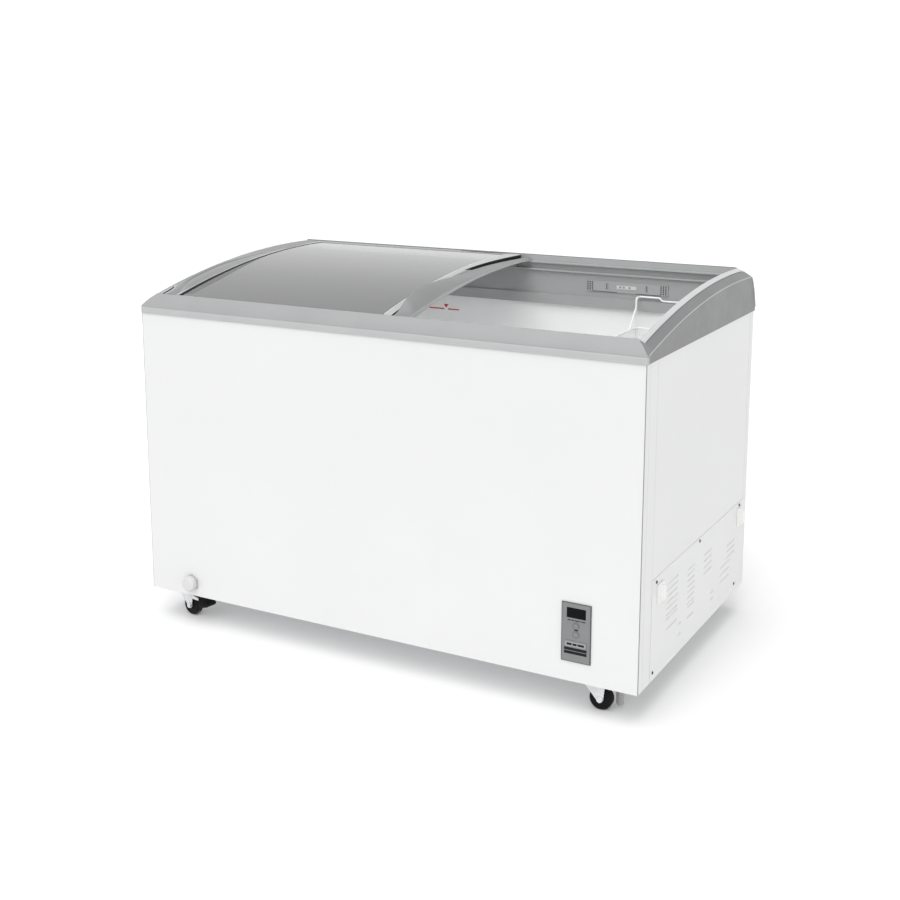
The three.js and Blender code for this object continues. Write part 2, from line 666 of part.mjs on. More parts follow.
function fanMotor() {
  const y = FAN.y + 8 + GAP;
  const can = rod('y', 24, y, y + 44, [FAN.x, 0, FAN.z], 24);
  const arms = box(FAN.x - 75, FAN.x + 75, FAN.y + 22, FAN.y + 25, FAN.z - 6, FAN.z + 6);
  const legs = [-73, 73].map((dx) => box(FAN.x + dx - 3, FAN.x + dx + 3, FAN.y + 14 + GAP, FAN.y + 25,
    FAN.z - 6, FAN.z + 6));
  return join(can, arms, ...legs);
}

function dischargeTube() {
  const z = COMPRESSOR.base + 140;
  const path = new THREE.CatmullRomCurve3([
    new THREE.Vector3(COMPRESSOR.x, COMPRESSOR.y - 80, z - 40),
    new THREE.Vector3(COMPRESSOR.x, COMPRESSOR.y - 110, z - 30),
    new THREE.Vector3(360, 20, 270),
    new THREE.Vector3(370, -70, 270),
    new THREE.Vector3(392, -97, 262),
    new THREE.Vector3(CONDENSER.x0 - GAP - 0.5, -97, 262),
  ]);
  return sweep(path, 3.5, 20, 8);
}

const INLET = { x: 470, z: 190 };

function powerInlet() {
  const flange = rod('y', 17, HALF_D + GAP, HALF_D + 9, [INLET.x, 0, INLET.z], 6);
  const neck = rod('y', 9.6, HALF_D - 12, HALF_D + 14, [INLET.x, 0, INLET.z], 20);
  const bore = rod('y', 4.5, HALF_D - 20, HALF_D + 20, [INLET.x, 0, INLET.z], 16);
  return cut(join(flange, neck), bore);
}

function wallSpacer(x) {
  const y = HALF_D + GAP;
  const profile = [[0, 0], [17, 0], [13, 17.7], [0, 17.7]];
  const geometry = new THREE.LatheGeometry(profile.map(([r, h]) => new THREE.Vector2(r, h)), 20);
  return geometry.translate(x, y, 640);
}

// ---------------------------------------------------------------- casters and feet
const CASTER = { radius: 25, width: 19, trail: 15, top: CABINET_BOTTOM - GAP, axle: 4 };
const CASTERS = [
  { name: 'front_left', x: -555, y: -306, yaw: -10, brake: true },
  { name: 'front_right', x: 511, y: -306, yaw: 2, brake: false },
  { name: 'rear_left', x: -555, y: 306, yaw: 12, brake: false },
  { name: 'rear_right', x: 509, y: 306, yaw: -10, brake: false },
];

function turned(geometry, caster) {
  geometry.rotateZ(THREE.MathUtils.degToRad(caster.yaw));
  return geometry.translate(caster.x, caster.y, 0);
}

function casterPlate() {
  const plate = box(-32, 32, -24, 24, CASTER.top - 2.5, CASTER.top);
  const race = rod('z', 19, CASTER.top - 7, CASTER.top - 2, [0, 0, 0], 24);
  return join(plate, race);
}

// The fork: a crown disc under the ball race, and two legs that lean back to the axle.
function casterFork() {
  const crownTop = CASTER.top - 7 - GAP;
  const crown = rod('z', 20, crownTop - 6, crownTop, [0, 0, 0], 24);
  const bridge = box(-16, 22, -14, 14, crownTop - 6, crownTop - 3);
  const side = [
    [-24, crownTop - 3], [CASTER.trail - 7, CASTER.radius - 3], [CASTER.trail - 3, CASTER.radius - 7],
    [CASTER.trail + 3, CASTER.radius - 7], [CASTER.trail + 7, CASTER.radius - 2], [26, crownTop - 3],
  ];
  const leg = (y) => extrude(side, y, y + 2.2, axes(UNIT_X, UNIT_Z, new THREE.Vector3(0, -1, 0)));
  const reach = CASTER.width / 2 + 1;
  const axleHole = rod('y', CASTER.axle + 0.1, -30, 30, [CASTER.trail, 0, CASTER.radius], 16);
  const roomForWheel = rod('y', CASTER.radius + 2.5, -reach, reach, [CASTER.trail, 0, CASTER.radius], 24);
  return cut(join(crown, bridge, leg(reach), leg(-reach - 2.2)), axleHole, roomForWheel);
}

function casterWheel() {
  const r = CASTER.radius;
  const half = CASTER.width / 2;
  const bore = CASTER.axle + 0.1;
  const face = [[bore, half], [9, half], [10, half - 1.5], [r - 6, half - 1.5], [r - 3, half], [r, half - 3]];
  const profile = [...face.map(([a, b]) => [a, -b]), ...face.reverse(), [bore, -half]];
  const geometry = new THREE.LatheGeometry(profile.map(([a, b]) => new THREE.Vector2(a, b)), 28);
  return geometry.translate(CASTER.trail, 0, r);
}

function casterAxle() {
  const reach = CASTER.width / 2 + 3.2;
  const shaft = rod('y', CASTER.axle, -reach - GAP, reach + GAP, [CASTER.trail, 0, CASTER.radius], 16);
  const head = rod('y', 6.5, reach + GAP, reach + 4, [CASTER.trail, 0, CASTER.radius], 6);
  const nut = rod('y', 6.5, -reach - 4, -reach - GAP, [CASTER.trail, 0, CASTER.radius], 6);
  return join(shaft, head, nut);
}

// The foot brake: a tapering pad behind the wheel, on two arms that hang on the outside of the fork legs.
const BRAKE_PIVOT = { x: 22, z: 49 };

function brakePedal() {
  const back = CASTER.trail + CASTER.radius + 4;
  const upright = axes(UNIT_X, UNIT_Z, new THREE.Vector3(0, -1, 0));
  const pad = extrude([
    [back, 52], [back + 30, 46], [back + 36, 41], [back + 35, 35], [back + 12, 27], [back + 1, 30],
  ], -15.2, 15.2, upright);
  const { x, z } = BRAKE_PIVOT;
  const arm = [[x - 4, z - 3], [x - 4, z + 4], [back + 2, 52], [back + 2, 44], [x + 3, z - 4]];
  return join(pad, extrude(arm, 13, 15.2, upright), extrude(arm, -15.2, -13, upright));
}

function levellingFoot() {
  const { radius, bottom, top } = FOOT;
  const profile = [[0, bottom], [radius - 2, bottom], [radius, bottom + 3], [radius, top], [0, top]];
  const geometry = new THREE.LatheGeometry(profile.map(([r, h]) => new THREE.Vector2(r, h)), 24);
  geometry.rotateX(Math.PI / 2);
  return geometry.translate(FOOT.x, FOOT.y, 0);
}

// ---------------------------------------------------------------- assembly
place('front_panel', frontPanel(), finish(WHITE, 0.35));
place('left_side_panel', sidePanel(-1, CABINET_BOTTOM), finish(WHITE, 0.38));
place('right_side_panel', sidePanel(1, COVER.z1), finish(WHITE, 0.38));
place('rear_panel', rearPanel(), finish(WHITE, 0.4));
place('base_plate', basePlate(), finish(ZINC, 0.45, 0.9));
place('foam_insulation', foam(), finish(0xe4d3a2, 0.95));
place('inner_liner', innerLiner(), finish(0xf0f1f1, 0.3));
place('evaporator_tube', evaporatorTube(), finish(COPPER, 0.35, 0.9));
place('drain_pipe', drainPipe(), finish(0xd8d8d6, 0.5));
place('drain_spout', drainSpout(), finish(0xe6e6e4, 0.5));
place('drain_cap', drainCap(), finish(0xf2f2f0, 0.45));
place('control_bezel', controlBezel(), finish(PANEL_GREY, 0.45));
place('control_board', controlBoard(), finish(0x2f6b45, 0.6));
place('display_window', panelInset(DISPLAY, 1.5, 1.3), finish(0x08090a, 0.12));
place('up_button', panelButton(BUTTON.up), finish(PANEL_GREY, 0.5));
place('down_button', panelButton(BUTTON.down), finish(PANEL_GREY, 0.5));
place('front_rail', frontRail(), finish(FRAME_GREY, 0.5));
place('rear_rail', rearRail(), finish(DARK_GREY, 0.5));
place('left_end_cap', endCap(-1), finish(DARK_GREY, 0.5));
place('right_end_cap', endCap(1), finish(DARK_GREY, 0.5));
place('thermometer_housing', thermometerHousing(), finish(DARK_GREY, 0.5));
place('thermometer_window', thermometerWindow(), finish(0xdadcdc, 0.2));
leftLid();
rightLid();
place('basket', basket(), finish(0xf6f7f7, 0.35));
place('vent_cover', ventCover(), finish(0xeeefef, 0.4));
place('cover_clip_front', coverClip(-262, -226, 232, 272), finish(0xf1f1ef, 0.5));
place('cover_clip_rear', coverClip(284, 320, 234, 276), finish(0xf1f1ef, 0.5));
place('compressor', compressor(), finish(BLACK, 0.55, 0.3));
place('condenser', condenserFins(), finish(0x9da1a3, 0.4, 0.85));
place('fan_shroud', fanShroud(), finish(0xbfc2c4, 0.45, 0.7));
place('condenser_fan', fanBlades(), finish(0x2b2c2e, 0.5));
place('fan_motor', fanMotor(), finish(0x77797b, 0.4, 0.7));
place('discharge_tube', dischargeTube(), finish(COPPER, 0.35, 0.9));
place('power_inlet', powerInlet(), finish(0x2a2b2c, 0.6));
place('wall_spacer_left', wallSpacer(-440), finish(0x2a2b2c, 0.7));
place('wall_spacer_right', wallSpacer(440), finish(0x2a2b2c, 0.7));
place('levelling_foot', levellingFoot(), finish(0xb4b6b7, 0.5));

for (const caster of CASTERS) {
  const { name, x, y } = caster;
  place(`${name}_caster_plate`, casterPlate().translate(x, y, 0), finish(ZINC, 0.4, 0.85));
  place(`${name}_caster_fork`, turned(casterFork(), caster), finish(ZINC, 0.4, 0.85));
  place(`${name}_caster_wheel`, turned(casterWheel(), caster), finish(BLACK, 0.6));
  place(`${name}_caster_axle`, turned(casterAxle(), caster), finish(ZINC, 0.35, 0.9));
  if (caster.brake) place(`${name}_brake_pedal`, turned(brakePedal(), caster), finish(BLACK, 0.55));
}

export default model;
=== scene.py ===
import math
import bmesh
import bpy
from mathutils import Matrix, Vector


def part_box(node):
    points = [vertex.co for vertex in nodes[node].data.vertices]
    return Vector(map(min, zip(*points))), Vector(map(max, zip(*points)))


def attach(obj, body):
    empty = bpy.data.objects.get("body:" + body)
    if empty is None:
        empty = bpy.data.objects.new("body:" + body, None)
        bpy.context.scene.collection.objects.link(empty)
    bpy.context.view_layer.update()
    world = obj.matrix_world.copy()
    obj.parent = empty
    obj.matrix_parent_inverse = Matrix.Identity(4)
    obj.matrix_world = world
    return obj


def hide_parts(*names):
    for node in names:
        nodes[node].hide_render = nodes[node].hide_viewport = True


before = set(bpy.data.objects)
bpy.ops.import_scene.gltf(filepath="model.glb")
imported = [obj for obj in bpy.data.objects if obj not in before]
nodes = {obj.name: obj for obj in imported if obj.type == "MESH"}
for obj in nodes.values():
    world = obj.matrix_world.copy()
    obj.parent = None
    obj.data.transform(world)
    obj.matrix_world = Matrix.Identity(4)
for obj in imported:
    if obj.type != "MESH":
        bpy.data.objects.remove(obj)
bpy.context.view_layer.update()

# ------------------------------------------------------------------ driving sizes, in millimetres
GAP = 0.3                       # room between pieces that only meet
CAP_WIDE = 29                   # an end cap, from the lids to its outside
STRIP_WIDE = 11.5               # the pale strip on an end cap, beside the lids
HALF_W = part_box("front_panel")[1].x * 1000
HALF_D = -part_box("front_panel")[0].y * 1000
CABINET_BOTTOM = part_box("front_panel")[0].z * 1000
CABINET_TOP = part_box("right_end_cap")[0].z * 1000
FRAME_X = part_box("front_rail")[1].x * 1000 + (CAP_WIDE + GAP)
FRAME_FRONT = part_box("front_rail")[0].y * 1000
FRAME_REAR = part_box("rear_rail")[1].y * 1000
CAP_INNER = FRAME_X - CAP_WIDE
CORNER_RADIUS = 6.0             # the frame's corners, seen from above
# The lids' curve: its highest point, the depth of that point and the radius
ARC_TOP = 852
ARC_CROWN_Y = 204
ARC_RADIUS = 2240
LID_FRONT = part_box("left_lid_front_trim")[0].y * 1000
LID_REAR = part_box("left_lid_rear_trim")[1].y * 1000
LOWER_DROP = 19                 # the right lid runs this much below the left one
LEDGE = 758.2                   # height of the front lip
BAND_DEPTH = 28.5               # the front band, from the lip to the glass
BAND_TOP = 788.5                # its height at the glass
CREST = 852.4                   # where the rear slope starts
# How far an end cap sinks below the lids' curve: distance from the lids, drop
SHOULDER = [(0, 0), (11.5, 5.6), (18, 11), (25, 17.2), (CAP_WIDE, 20.5)]
LEAF_HEIGHT = 18                # the raised leaf on a lid's arm
SLOT_DEPTH = 9                  # the dark slots in the arms
THICK = 13                      # the arms

# ------------------------------------------------------------------ camera and light
CAMERA_PLACE = (1.4929, -2.7302, 1.2722)    # metres
CAMERA_AZIMUTH = 28.64          # degrees to the right of the front
CAMERA_PITCH = 10.93            # degrees down
CAMERA_SENSOR = 36              # millimetres
CAMERA_LENS = 53.86             # millimetres
CAMERA_SHIFT = -0.12            # of the picture's width
# Each sun's direction of travel, spread in degrees and strength
SUNS = {
    "overhead": ((0.08, 0.15, -1), 55, 1.5),
    "front": ((-0.12, 0.9, -0.85), 40, 0.95),
    "side": ((-1, 0.15, -0.35), 50, 0.25),
}
TUB_LIGHT = 0.5                 # watts, a soft fill inside the tub
TUB_LIGHT_SIZE = (1.1, 0.16)    # metres
TUB_LIGHT_PLACE = (0, -0.2, 0.68)
TUB_LIGHT_TILT = 55             # degrees from straight down towards the rear wall
# Height, from 0 at the horizon to 1 overhead, and the sky's brightness there
SKY = ((0.0, 1.0), (0.15, 1.0), (0.3, 0.95), (0.45, 0.75), (0.65, 0.5), (1.0, 0.4))
FLOOR_REACH = 30.0              # metres
# The middle part of a noise, which is stretched over the whole range of colour or gloss
NOISE_LOW, NOISE_HIGH = 0.3, 0.7


def arc(y):
    """Height of the curved top at depth y."""
    return ARC_TOP - ARC_RADIUS + math.sqrt(ARC_RADIUS ** 2 - (y - ARC_CROWN_Y) ** 2)


def steps(start, end, count):
    """Evenly spaced values from start to end, count + 1 of them."""
    return [start + (end - start) * i / count for i in range(count + 1)]


def ease(t):
    """A smooth ramp from 0 to 1, flat outside."""
    t = min(1.0, max(0.0, t))
    return t * t * (3 - 2 * t)


# ------------------------------------------------------------------ camera
def add_camera():
    """The photo's viewing angle."""
    data = bpy.data.cameras.new("camera")
    data.sensor_width = CAMERA_SENSOR
    data.lens = CAMERA_LENS
    data.shift_y = CAMERA_SHIFT
    data.clip_end = 60
    camera = bpy.data.objects.new("camera", data)
    bpy.context.scene.collection.objects.link(camera)
    azimuth = math.radians(CAMERA_AZIMUTH)
    pitch = math.radians(CAMERA_PITCH)
    level = math.cos(pitch)
    look = Vector((-math.sin(azimuth) * level, math.cos(azimuth) * level, -math.sin(pitch)))
    camera.location = CAMERA_PLACE
    camera.rotation_mode = "QUATERNION"
    camera.rotation_quaternion = look.to_track_quat("-Z", "Y")
    bpy.context.scene.camera = camera


add_camera()


# ------------------------------------------------------------------ materials
def node(tree, kind, **inputs):
    """A shader node with its inputs set."""
    made = tree.nodes.new(kind)
    for key, value in inputs.items():
        made.inputs[key].default_value = value
    return made


def finish_of(name, colour, rough, metal=0.0, grain=900.0, depth=0.02, mottle=0.03, patch=6.0, spread=0.06,
              shine=0.5):
    """A surface with slow colour drift, uneven gloss and a fine relief.

    grain is how many bumps fit in a metre, depth the relief's strength, mottle the colour drift,
    patch how many drifts fit in a metre, spread the change of roughness, and shine the specular level.
    """
    material = bpy.data.materials.new(name)
    material.use_nodes = True
    tree = material.node_tree
    shader = tree.nodes["Principled BSDF"]
    shader.inputs["Metallic"].default_value = metal
    shader.inputs["Specular IOR Level"].default_value = shine
    where = node(tree, "ShaderNodeTexCoord")
    drift = node(tree, "ShaderNodeTexNoise", **{"Scale": patch, "Detail": 4.0, "Roughness": 0.55})
    tree.links.new(where.outputs["Object"], drift.inputs["Vector"])
    ramp = node(tree, "ShaderNodeValToRGB")
    dark = [c * (1 - mottle) for c in colour]
    light = [min(1.0, c * (1 + mottle)) for c in colour]
    for stop, place, shade in zip(ramp.color_ramp.elements, (NOISE_LOW, NOISE_HIGH), (dark, light)):
        stop.position = place
        stop.color = (*shade, 1)
    tree.links.new(drift.outputs["Fac"], ramp.inputs["Fac"])
    tree.links.new(ramp.outputs["Color"], shader.inputs["Base Color"])
    smear = node(tree, "ShaderNodeTexNoise", **{"Scale": patch * 4, "Detail": 5.0, "Roughness": 0.6})
    tree.links.new(where.outputs["Object"], smear.inputs["Vector"])
    gloss = node(tree, "ShaderNodeMapRange", **{
        "From Min": NOISE_LOW, "From Max": NOISE_HIGH,
        "To Min": max(0.02, rough - spread), "To Max": rough + spread})
    tree.links.new(smear.outputs["Fac"], gloss.inputs["Value"])
    tree.links.new(gloss.outputs["Result"], shader.inputs["Roughness"])
    fine = node(tree, "ShaderNodeTexNoise", **{"Scale": grain, "Detail": 2.0, "Roughness": 0.5})
    tree.links.new(where.outputs["Object"], fine.inputs["Vector"])
    bump = node(tree, "ShaderNodeBump", **{"Strength": depth, "Distance": 0.001})
    tree.links.new(fine.outputs["Fac"], bump.inputs["Height"])
    tree.links.new(bump.outputs["Normal"], shader.inputs["Normal"])
    return material


def glass_finish(name, tint, haze, coating, frosting):
    """Thin clear sheet: light goes straight through, tinted, and the rest is scattered or mirrored.

    haze is the highest roughness of the mirror, coating the index that sets how much it mirrors,
    and frosting the share of what isn't mirrored that is scattered.
    """
    material = bpy.data.materials.new(name)
    material.use_nodes = True
    tree = material.node_tree
    tree.nodes.remove(tree.nodes["Principled BSDF"])
    out = tree.nodes["Material Output"]
    where = node(tree, "ShaderNodeTexCoord")
    smear = node(tree, "ShaderNodeTexNoise", **{"Scale": 7.0, "Detail": 6.0, "Roughness": 0.6})
    tree.links.new(where.outputs["Object"], smear.inputs["Vector"])
    gloss = node(tree, "ShaderNodeMapRange", **{
        "From Min": 0.35, "From Max": 0.7, "To Min": 0.01, "To Max": haze})
    tree.links.new(smear.outputs["Fac"], gloss.inputs["Value"])
    clear = node(tree, "ShaderNodeBsdfTransparent")
    clear.inputs["Color"].default_value = (*tint, 1)
    frost = node(tree, "ShaderNodeBsdfDiffuse")
    frost.inputs["Color"].default_value = (0.8, 0.81, 0.82, 1)
    veil = node(tree, "ShaderNodeMixShader")
    veil.inputs["Fac"].default_value = frosting
    tree.links.new(clear.outputs["BSDF"], veil.inputs[1])
    tree.links.new(frost.outputs["BSDF"], veil.inputs[2])
    mirror = node(tree, "ShaderNodeBsdfGlossy")
    mirror.inputs["Color"].default_value = (1, 1, 1, 1)
    tree.links.new(gloss.outputs["Result"], mirror.inputs["Roughness"])
    angle = node(tree, "ShaderNodeFresnel", **{"IOR": coating})
    mix = node(tree, "ShaderNodeMixShader")
    tree.links.new(angle.outputs["Fac"], mix.inputs["Fac"])
    tree.links.new(veil.outputs["Shader"], mix.inputs[1])
    tree.links.new(mirror.outputs["BSDF"], mix.inputs[2])
    tree.links.new(mix.outputs["Shader"], out.inputs["Surface"])
    return material


# Name: colour, roughness and the other values of finish_of
FINISHES = {
    "white_enamel": ((0.70, 0.703, 0.703), 0.36, dict(
        grain=420, depth=0.05, mottle=0.012, patch=2.5, spread=0.05)),
    # The liner is paler than the cabinet's white enamel: painted light that lifts the shade inside the tub
    "liner_enamel": ((0.95, 0.953, 0.953), 0.42, dict(grain=300, depth=0.06, mottle=0.015, patch=4)),
    "frame_plastic": ((0.37, 0.373, 0.377), 0.42, dict(
        grain=1600, depth=0.12, mottle=0.03, patch=9, spread=0.06)),
    "light_trim": ((0.54, 0.545, 0.55), 0.4, dict(grain=1600, depth=0.1, mottle=0.03, patch=9)),
    # the front lip's own trim colour, and also a painted highlight on the end caps' ridge
    "lip_plastic_and_ridge_highlight": ((0.42, 0.424, 0.428), 0.4, dict(grain=1600, depth=0.1, patch=9)),
    # painted highlight for the strips beside the glass on the left lid's arms
    "rim_painted_highlight": ((0.7, 0.705, 0.71), 0.35, dict(grain=1600, depth=0.06, patch=9)),
    "dark_frame": ((0.205, 0.207, 0.21), 0.44, dict(grain=1600, depth=0.12, mottle=0.04, patch=9)),
    # painted shade: a darker copy of dark_frame for the end caps' up-facing bevel faces
    "cap_bevel_painted_shade": ((0.19, 0.192, 0.195), 0.46, dict(grain=1600, depth=0.12, mottle=0.04, patch=9)),
    "band_plastic": ((0.32, 0.323, 0.327), 0.42, dict(grain=1600, depth=0.12, patch=9)),
    # painted light for the linings of the rear rail's grooves
    "groove_painted_light": ((0.4, 0.404, 0.408), 0.45, dict(grain=1600, depth=0.1, patch=9)),
    "panel_plastic": ((0.20, 0.203, 0.207), 0.45, dict(grain=2200, depth=0.1, mottle=0.04, patch=20)),
    "panel_edge": ((0.07, 0.072, 0.075), 0.5, dict(grain=2200, depth=0.1)),
    "black_gloss": ((0.006, 0.006, 0.007), 0.16, dict(grain=200, depth=0.01, spread=0.04, shine=0.07)),
    # black for the real seals, pull and plug, and also painted shade in the arms' slots and painted
    # reflection on the left lid's glass
    "black_seal_shade_and_reflection": ((0.015, 0.015, 0.016), 0.6, dict(grain=2500, depth=0.15, shine=0.2)),
    "wheel_black": ((0.008, 0.008, 0.009), 0.48, dict(
        grain=1800, depth=0.12, mottle=0.2, patch=60, spread=0.12, shine=0.08)),
    "white_plastic": ((0.8, 0.8, 0.79), 0.45, dict(grain=1500, depth=0.08, mottle=0.02, patch=15)),
    "grey_plastic": ((0.34, 0.34, 0.34), 0.5, dict(grain=1500, depth=0.1, mottle=0.05, patch=30)),
    "cap_plastic": ((0.6, 0.603, 0.6), 0.45, dict(grain=1500, depth=0.08, patch=15)),
    "spout_plastic": ((0.42, 0.422, 0.42), 0.5, dict(grain=1500, depth=0.1, patch=15)),
    "wire_white": ((0.9, 0.905, 0.91), 0.3, dict(grain=600, depth=0.05, mottle=0.02, patch=20)),
    "zinc": ((0.72, 0.73, 0.74), 0.34, dict(
        metal=0.9, grain=700, depth=0.1, mottle=0.08, patch=50, spread=0.1)),
    "screw_dark": ((0.06, 0.06, 0.062), 0.35, dict(metal=0.7, grain=1500, depth=0.1)),
    "rubber": ((0.02, 0.02, 0.02), 0.7, dict(grain=1200, depth=0.2)),
    "foam": ((0.75, 0.62, 0.36), 0.9, dict(grain=350, depth=0.5, mottle=0.1, patch=20)),
    "copper": ((0.66, 0.3, 0.15), 0.32, dict(
        metal=0.95, grain=900, depth=0.05, mottle=0.12, patch=30, spread=0.1)),
    "board": ((0.02, 0.14, 0.06), 0.5, dict(grain=1200, depth=0.1)),
    "black_enamel": ((0.014, 0.014, 0.015), 0.38, dict(grain=250, depth=0.15, mottle=0.2, patch=15)),
    "fins": ((0.6, 0.61, 0.62), 0.38, dict(metal=0.9, grain=1200, depth=0.2, mottle=0.08, patch=30)),
    "motor": ((0.4, 0.41, 0.42), 0.35, dict(metal=0.9, grain=1200, depth=0.1)),
    "black_plastic": ((0.02, 0.02, 0.021), 0.5, dict(grain=1500, depth=0.1)),
    "window": ((0.62, 0.63, 0.63), 0.25, dict(grain=600, depth=0.03)),
    # print grey for the thermometer's dots, and also painted shade for the cabinet's corner lines
    "shade_and_print_grey": ((0.25, 0.252, 0.255), 0.5, dict(grain=900, depth=0.05)),
    "seam_pale": ((0.58, 0.583, 0.585), 0.5, dict(grain=900, depth=0.05)),
    # dark print on the panel, and also painted shade in the thermometer's vent holes
    "print_and_hole_shade": ((0.012, 0.012, 0.013), 0.5, dict(grain=900, depth=0.05, shine=0.15)),
    "print_grey": ((0.11, 0.112, 0.115), 0.5, dict(grain=900, depth=0.05)),
    "screen_felt": ((0.66, 0.66, 0.655), 0.9, dict(grain=700, depth=0.4, mottle=0.06, patch=30)),
    "label": ((0.3, 0.303, 0.307), 0.5, dict(grain=900, depth=0.05)),
    "red_print": ((0.62, 0.01, 0.02), 0.5, dict(grain=1200, depth=0.05)),
    "grip_plastic": ((0.44, 0.444, 0.448), 0.4, dict(grain=1600, depth=0.1, mottle=0.03, patch=9)),
    # painted shade for the leaves on the left lid's arms
    "leaf_painted_shade": ((0.235, 0.237, 0.24), 0.42, dict(grain=1600, depth=0.12, mottle=0.04, patch=12)),
}
MAT = {name: finish_of(name, colour, rough, **rest) for name, (colour, rough, rest) in FINISHES.items()}
MAT["glass"] = glass_finish(
    "lid_glass", (0.90, 0.906, 0.91), haze=0.05, coating=1.65, frosting=0.21)
MAT["glass_lower"] = glass_finish(
    "lid_glass_lower", (0.93, 0.935, 0.94), haze=0.03, coating=1.45, frosting=0.06)


# ------------------------------------------------------------------ mesh building, in millimetres
class Shape:
    """Collects points and faces; each call adds a closed form, and make turns them into one piece."""

    def __init__(self):
        self.verts = []
        self.faces = []

    def add(self, verts, faces):
        start = len(self.verts)
        self.verts += [tuple(v) for v in verts]
        self.faces += [tuple(start + i for i in face) for face in faces]
        return self

    def loft(self, rings):
        """Skin over rings with equal point counts, with flat ends."""
        count = len(rings[0])
        faces = []
        for start in range(0, (len(rings) - 1) * count, count):
            for i in range(count):
                a, b = start + i, start + (i + 1) % count
                faces.append((a, b, b + count, a + count))
        faces.append(tuple(reversed(range(count))))
        faces.append(tuple((len(rings) - 1) * count + i for i in range(count)))
        return self.add([p for ring in rings for p in ring], faces)

    def box(self, x0, x1, y0, y1, z0, z1):
        return self.loft([[(x0, y0, z), (x1, y0, z), (x1, y1, z), (x0, y1, z)] for z in (z0, z1)])

    def prism_x(self, outline, x0, x1):
        """Outline is (y, z) pairs."""
        return self.loft([[(x, y, z) for y, z in outline] for x in (x0, x1)])

    def prism_y(self, outline, y0, y1):
        """Outline is (x, z) pairs."""
        return self.loft([[(x, y, z) for x, z in outline] for y in (y0, y1)])

    def lathe(self, profile, centre, axis, sides):
        """Profile is (radius, height) pairs, from one end of the axis to the other."""
        order = {"x": (2, 0, 1), "y": (1, 2, 0), "z": (0, 1, 2)}[axis]
        rings = []
        for radius, height in profile:
            ring = []
            for i in range(sides):
                a = 2 * math.pi * i / sides
                local = (radius * math.cos(a), radius * math.sin(a), height)
                ring.append(tuple(centre[k] + local[order[k]] for k in range(3)))
            rings.append(ring)
        return self.loft(rings)

    def tube(self, points, radius, sides):
        """A round wire through points, with mitred corners."""
        path = [Vector(p) for p in points]
        along = [(b - a).normalized() for a, b in zip(path, path[1:])]
        first = along[0]
        across = first.cross(Vector((1, 0, 0)) if abs(first.z) > 0.9 else Vector((0, 0, 1))).normalized()
        rings = []
        for i, p in enumerate(path):
            before = along[max(0, i - 1)]
            after = along[min(len(along) - 1, i)]
            up = before.cross(across).normalized()
            plane = (before + after).normalized()
            ring = []
            for k in range(sides):
                a = 2 * math.pi * k / sides
                spoke = across * (math.cos(a) * radius) + up * (math.sin(a) * radius)
                ring.append(tuple(p + spoke - before * (spoke.dot(plane) / before.dot(plane))))
            rings.append(ring)
            across = before.rotation_difference(after) @ across
        return self.loft(rings)

    def make(self, name, body, material, slot, replaces=(), bevel=0.0, segments=3, angle=35, turn=None):
        """Makes one piece in metres. turn moves its mesh, and the rounding is soften's."""
        mesh = bpy.data.meshes.new(name)
        mesh.from_pydata([[c * 0.001 for c in v] for v in self.verts], [], self.faces)
        mesh.materials.append(MAT[material])
        thing = bpy.data.objects.new(name, mesh)
        bpy.context.scene.collection.objects.link(thing)
        if turn is not None:
            mesh.transform(turn)
        tidy_normals(mesh)
        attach(thing, body)
        if replaces:
            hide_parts(*replaces)
        soften(thing, bevel, segments, angle)
        return thing


def tidy_normals(mesh):
    """Merges points that coincide and turns every face outwards."""
    work = bmesh.new()
    work.from_mesh(mesh)
    bmesh.ops.remove_doubles(work, verts=work.verts, dist=1e-7)
    bmesh.ops.recalc_face_normals(work, faces=work.faces)
    work.to_mesh(mesh)
    work.free()
    mesh.update()


def soften(thing, width, segments=3, angle=35):
    """Rounds the hard edges by width millimetres and smooths the shading of what is left."""
    mesh = thing.data
    for face in mesh.polygons:
        face.use_smooth = True
    if width > 0:
        bevel = thing.modifiers.new("rounding", "BEVEL")
        bevel.width = width * 0.001
        bevel.segments = segments
        bevel.limit_method = "ANGLE"
        bevel.angle_limit = math.radians(angle)
        weigh = thing.modifiers.new("flat_faces", "WEIGHTED_NORMAL")
        weigh.keep_sharp = True
        weigh.weight = 80
    else:
        mesh.set_sharp_from_angle(angle=math.radians(angle))


def paint(name, material, bevel=0.0, segments=3):
    """Gives a CAD node its finish and rounded edges."""
    thing = nodes[name]
    thing.data.materials.clear()
    thing.data.materials.append(MAT[material])
    soften(thing, bevel, segments)


